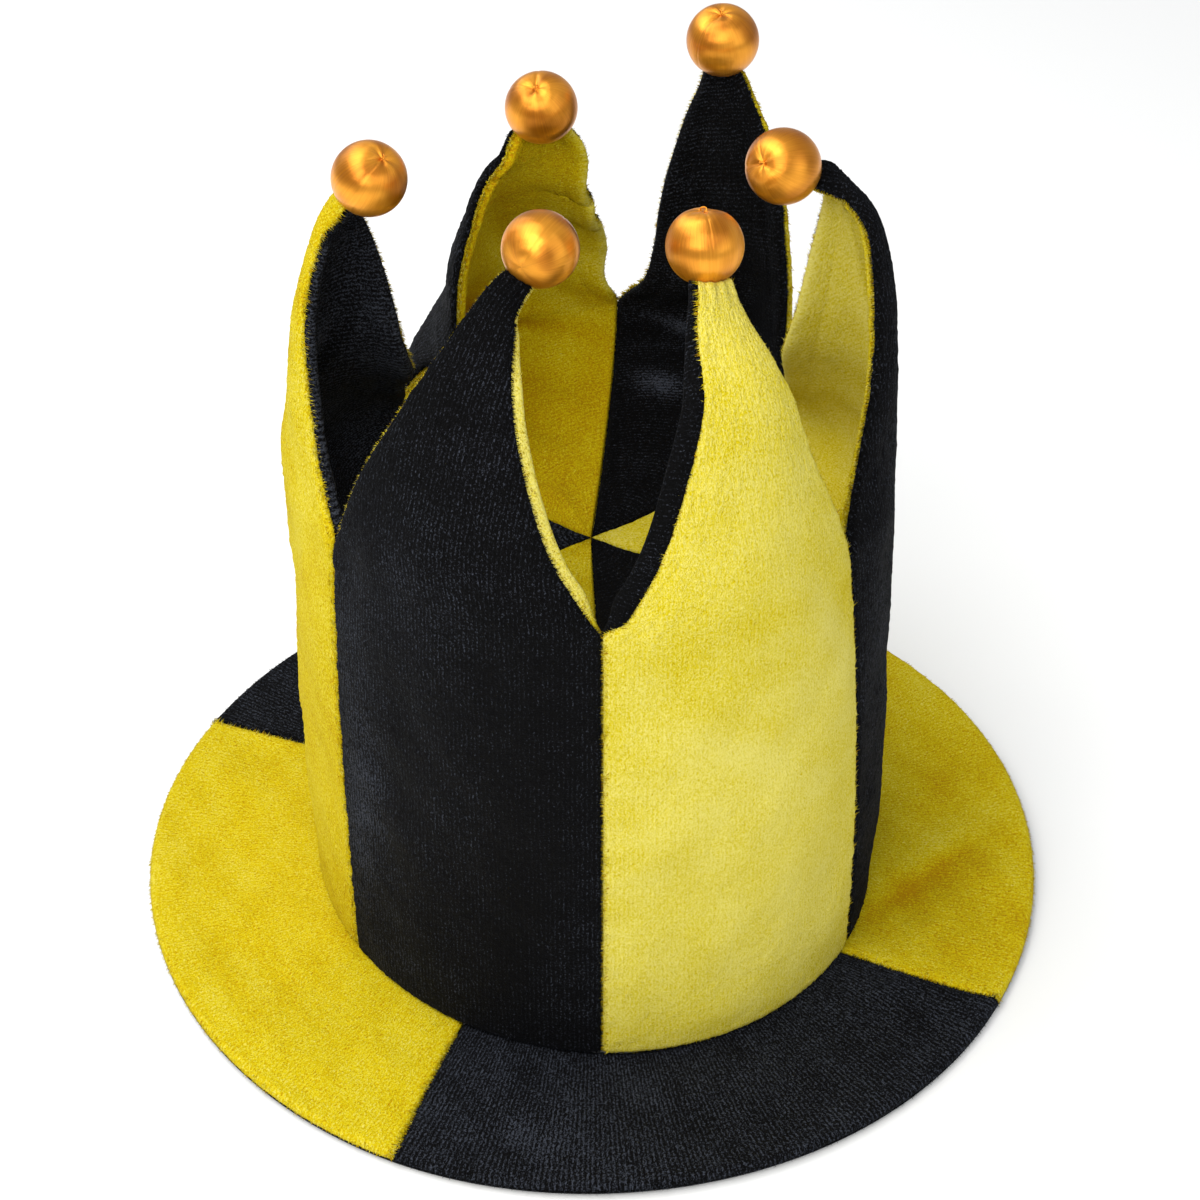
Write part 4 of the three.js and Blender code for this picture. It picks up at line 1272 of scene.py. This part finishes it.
gold_thread = satin_thread()
for number, panel in enumerate(panels.values()):
    centre = ball_seat(panel)[0]
    way, pinch = BALL_POLES[panel["place"]]
    axis = unit(np.array(way))
    first = unit(np.cross(axis, [0.3, 0.2, -1]))
    second = np.cross(axis, first)
    from_pole = np.linspace(0, np.pi, BALL_ROWS + 1)[1:-1, None]
    around = np.arange(BALL_COLUMNS) * 2 * np.pi / BALL_COLUMNS
    off_pinch = np.angle(np.exp(1j * (around - np.radians(pinch))))
    sunk = PINCH_DEPTH * np.exp(-((from_pole / 0.3) ** 2))
    sunk = sunk + FAR_PINCH_DEPTH * np.exp(-(((np.pi - from_pole) / 0.25) ** 2))
    beside = np.hypot(from_pole * np.cos(off_pinch) - 0.42, from_pole * np.sin(off_pinch))
    sunk = sunk + 0.55 * np.exp(-((beside / 0.3) ** 2))
    crease = BALL_RADIUS * np.sin(from_pole) * off_pinch
    sunk = sunk + 0.35 * np.exp(-((crease / 0.6) ** 2)) * np.exp(-((from_pole / 0.9) ** 2))
    sunk = sunk + 0.22 * np.cos(5 * around + 1) * np.exp(-((from_pole / 0.4) ** 2))
    seam_line = BALL_RADIUS * np.sin(from_pole) * np.angle(np.exp(1j * (around - 2.2)))
    sunk = sunk + 0.12 * np.exp(-((seam_line / 0.35) ** 2))
    sunk = sunk + 0.035 * np.cos(THREAD_COUNT * around) * np.sin(from_pole)
    radius = (BALL_RADIUS - sunk)[..., None]
    level = first * np.cos(around)[:, None] + second * np.sin(around)[:, None]
    body = radius * (axis * np.cos(from_pole)[..., None] + level * np.sin(from_pole)[..., None])
    poles = np.stack([axis * (BALL_RADIUS - PINCH_DEPTH - 0.1), -axis * (BALL_RADIUS - FAR_PINCH_DEPTH)])
    row, column = np.meshgrid(np.arange(BALL_ROWS - 2), np.arange(BALL_COLUMNS), indexing="ij")
    corner = row * BALL_COLUMNS + column
    beyond = row * BALL_COLUMNS + (column + 1) % BALL_COLUMNS
    sides = np.stack([corner, corner + BALL_COLUMNS, beyond + BALL_COLUMNS, beyond], -1).reshape(-1, 4)
    top_row = np.arange(BALL_COLUMNS)
    count = (BALL_ROWS - 1) * BALL_COLUMNS
    near_cap = np.stack([np.full(BALL_COLUMNS, count), top_row, (top_row + 1) % BALL_COLUMNS], -1)
    low_row = top_row + (BALL_ROWS - 2) * BALL_COLUMNS
    far_cap = np.stack([np.full(BALL_COLUMNS, count + 1), np.roll(low_row, -1), low_row], -1)
    loop, loop_quads = thread_loop(0.95, 0.2)
    loop = loop @ np.stack([first, second, axis]) + axis * (BALL_RADIUS - 1.5)
    points = centre + np.concatenate([body.reshape(-1, 3), poles, loop])
    wound = np.stack([
        np.cos(around) + 0 * from_pole,
        np.sin(around) + 0 * from_pole,
        from_pole + 0 * around,
    ], -1).reshape(-1, 3)
    wound = np.concatenate([wound, [[1, 0, 0], [1, 0, np.pi]], loop * 0.3])
    made = mesh_object(
        f"thread_ball_{panel['place']}",
        points,
        [sides, near_cap, far_cap, loop_quads + count + 2],
        {"wound": wound},
        [gold_thread],
    )
    corner_points = np.zeros(len(made.data.loops), int)
    made.data.loops.foreach_get("vertex_index", corner_points)
    u = np.arctan2(wound[:, 1], wound[:, 0])[corner_points] / (2 * np.pi)
    face_sizes = np.zeros(len(made.data.polygons), int)
    made.data.polygons.foreach_get("loop_total", face_sizes)
    first_u = np.repeat(u[np.cumsum(face_sizes) - face_sizes], face_sizes)
    u = u - np.round(u - first_u)
    uv = np.stack([u, wound[:, 2][corner_points] / np.pi], -1)
    made.data.uv_layers.new(name="wound_uv").data.foreach_set("uv", uv.astype(np.float32).ravel())
    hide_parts(f"ball_{panel['place']}")
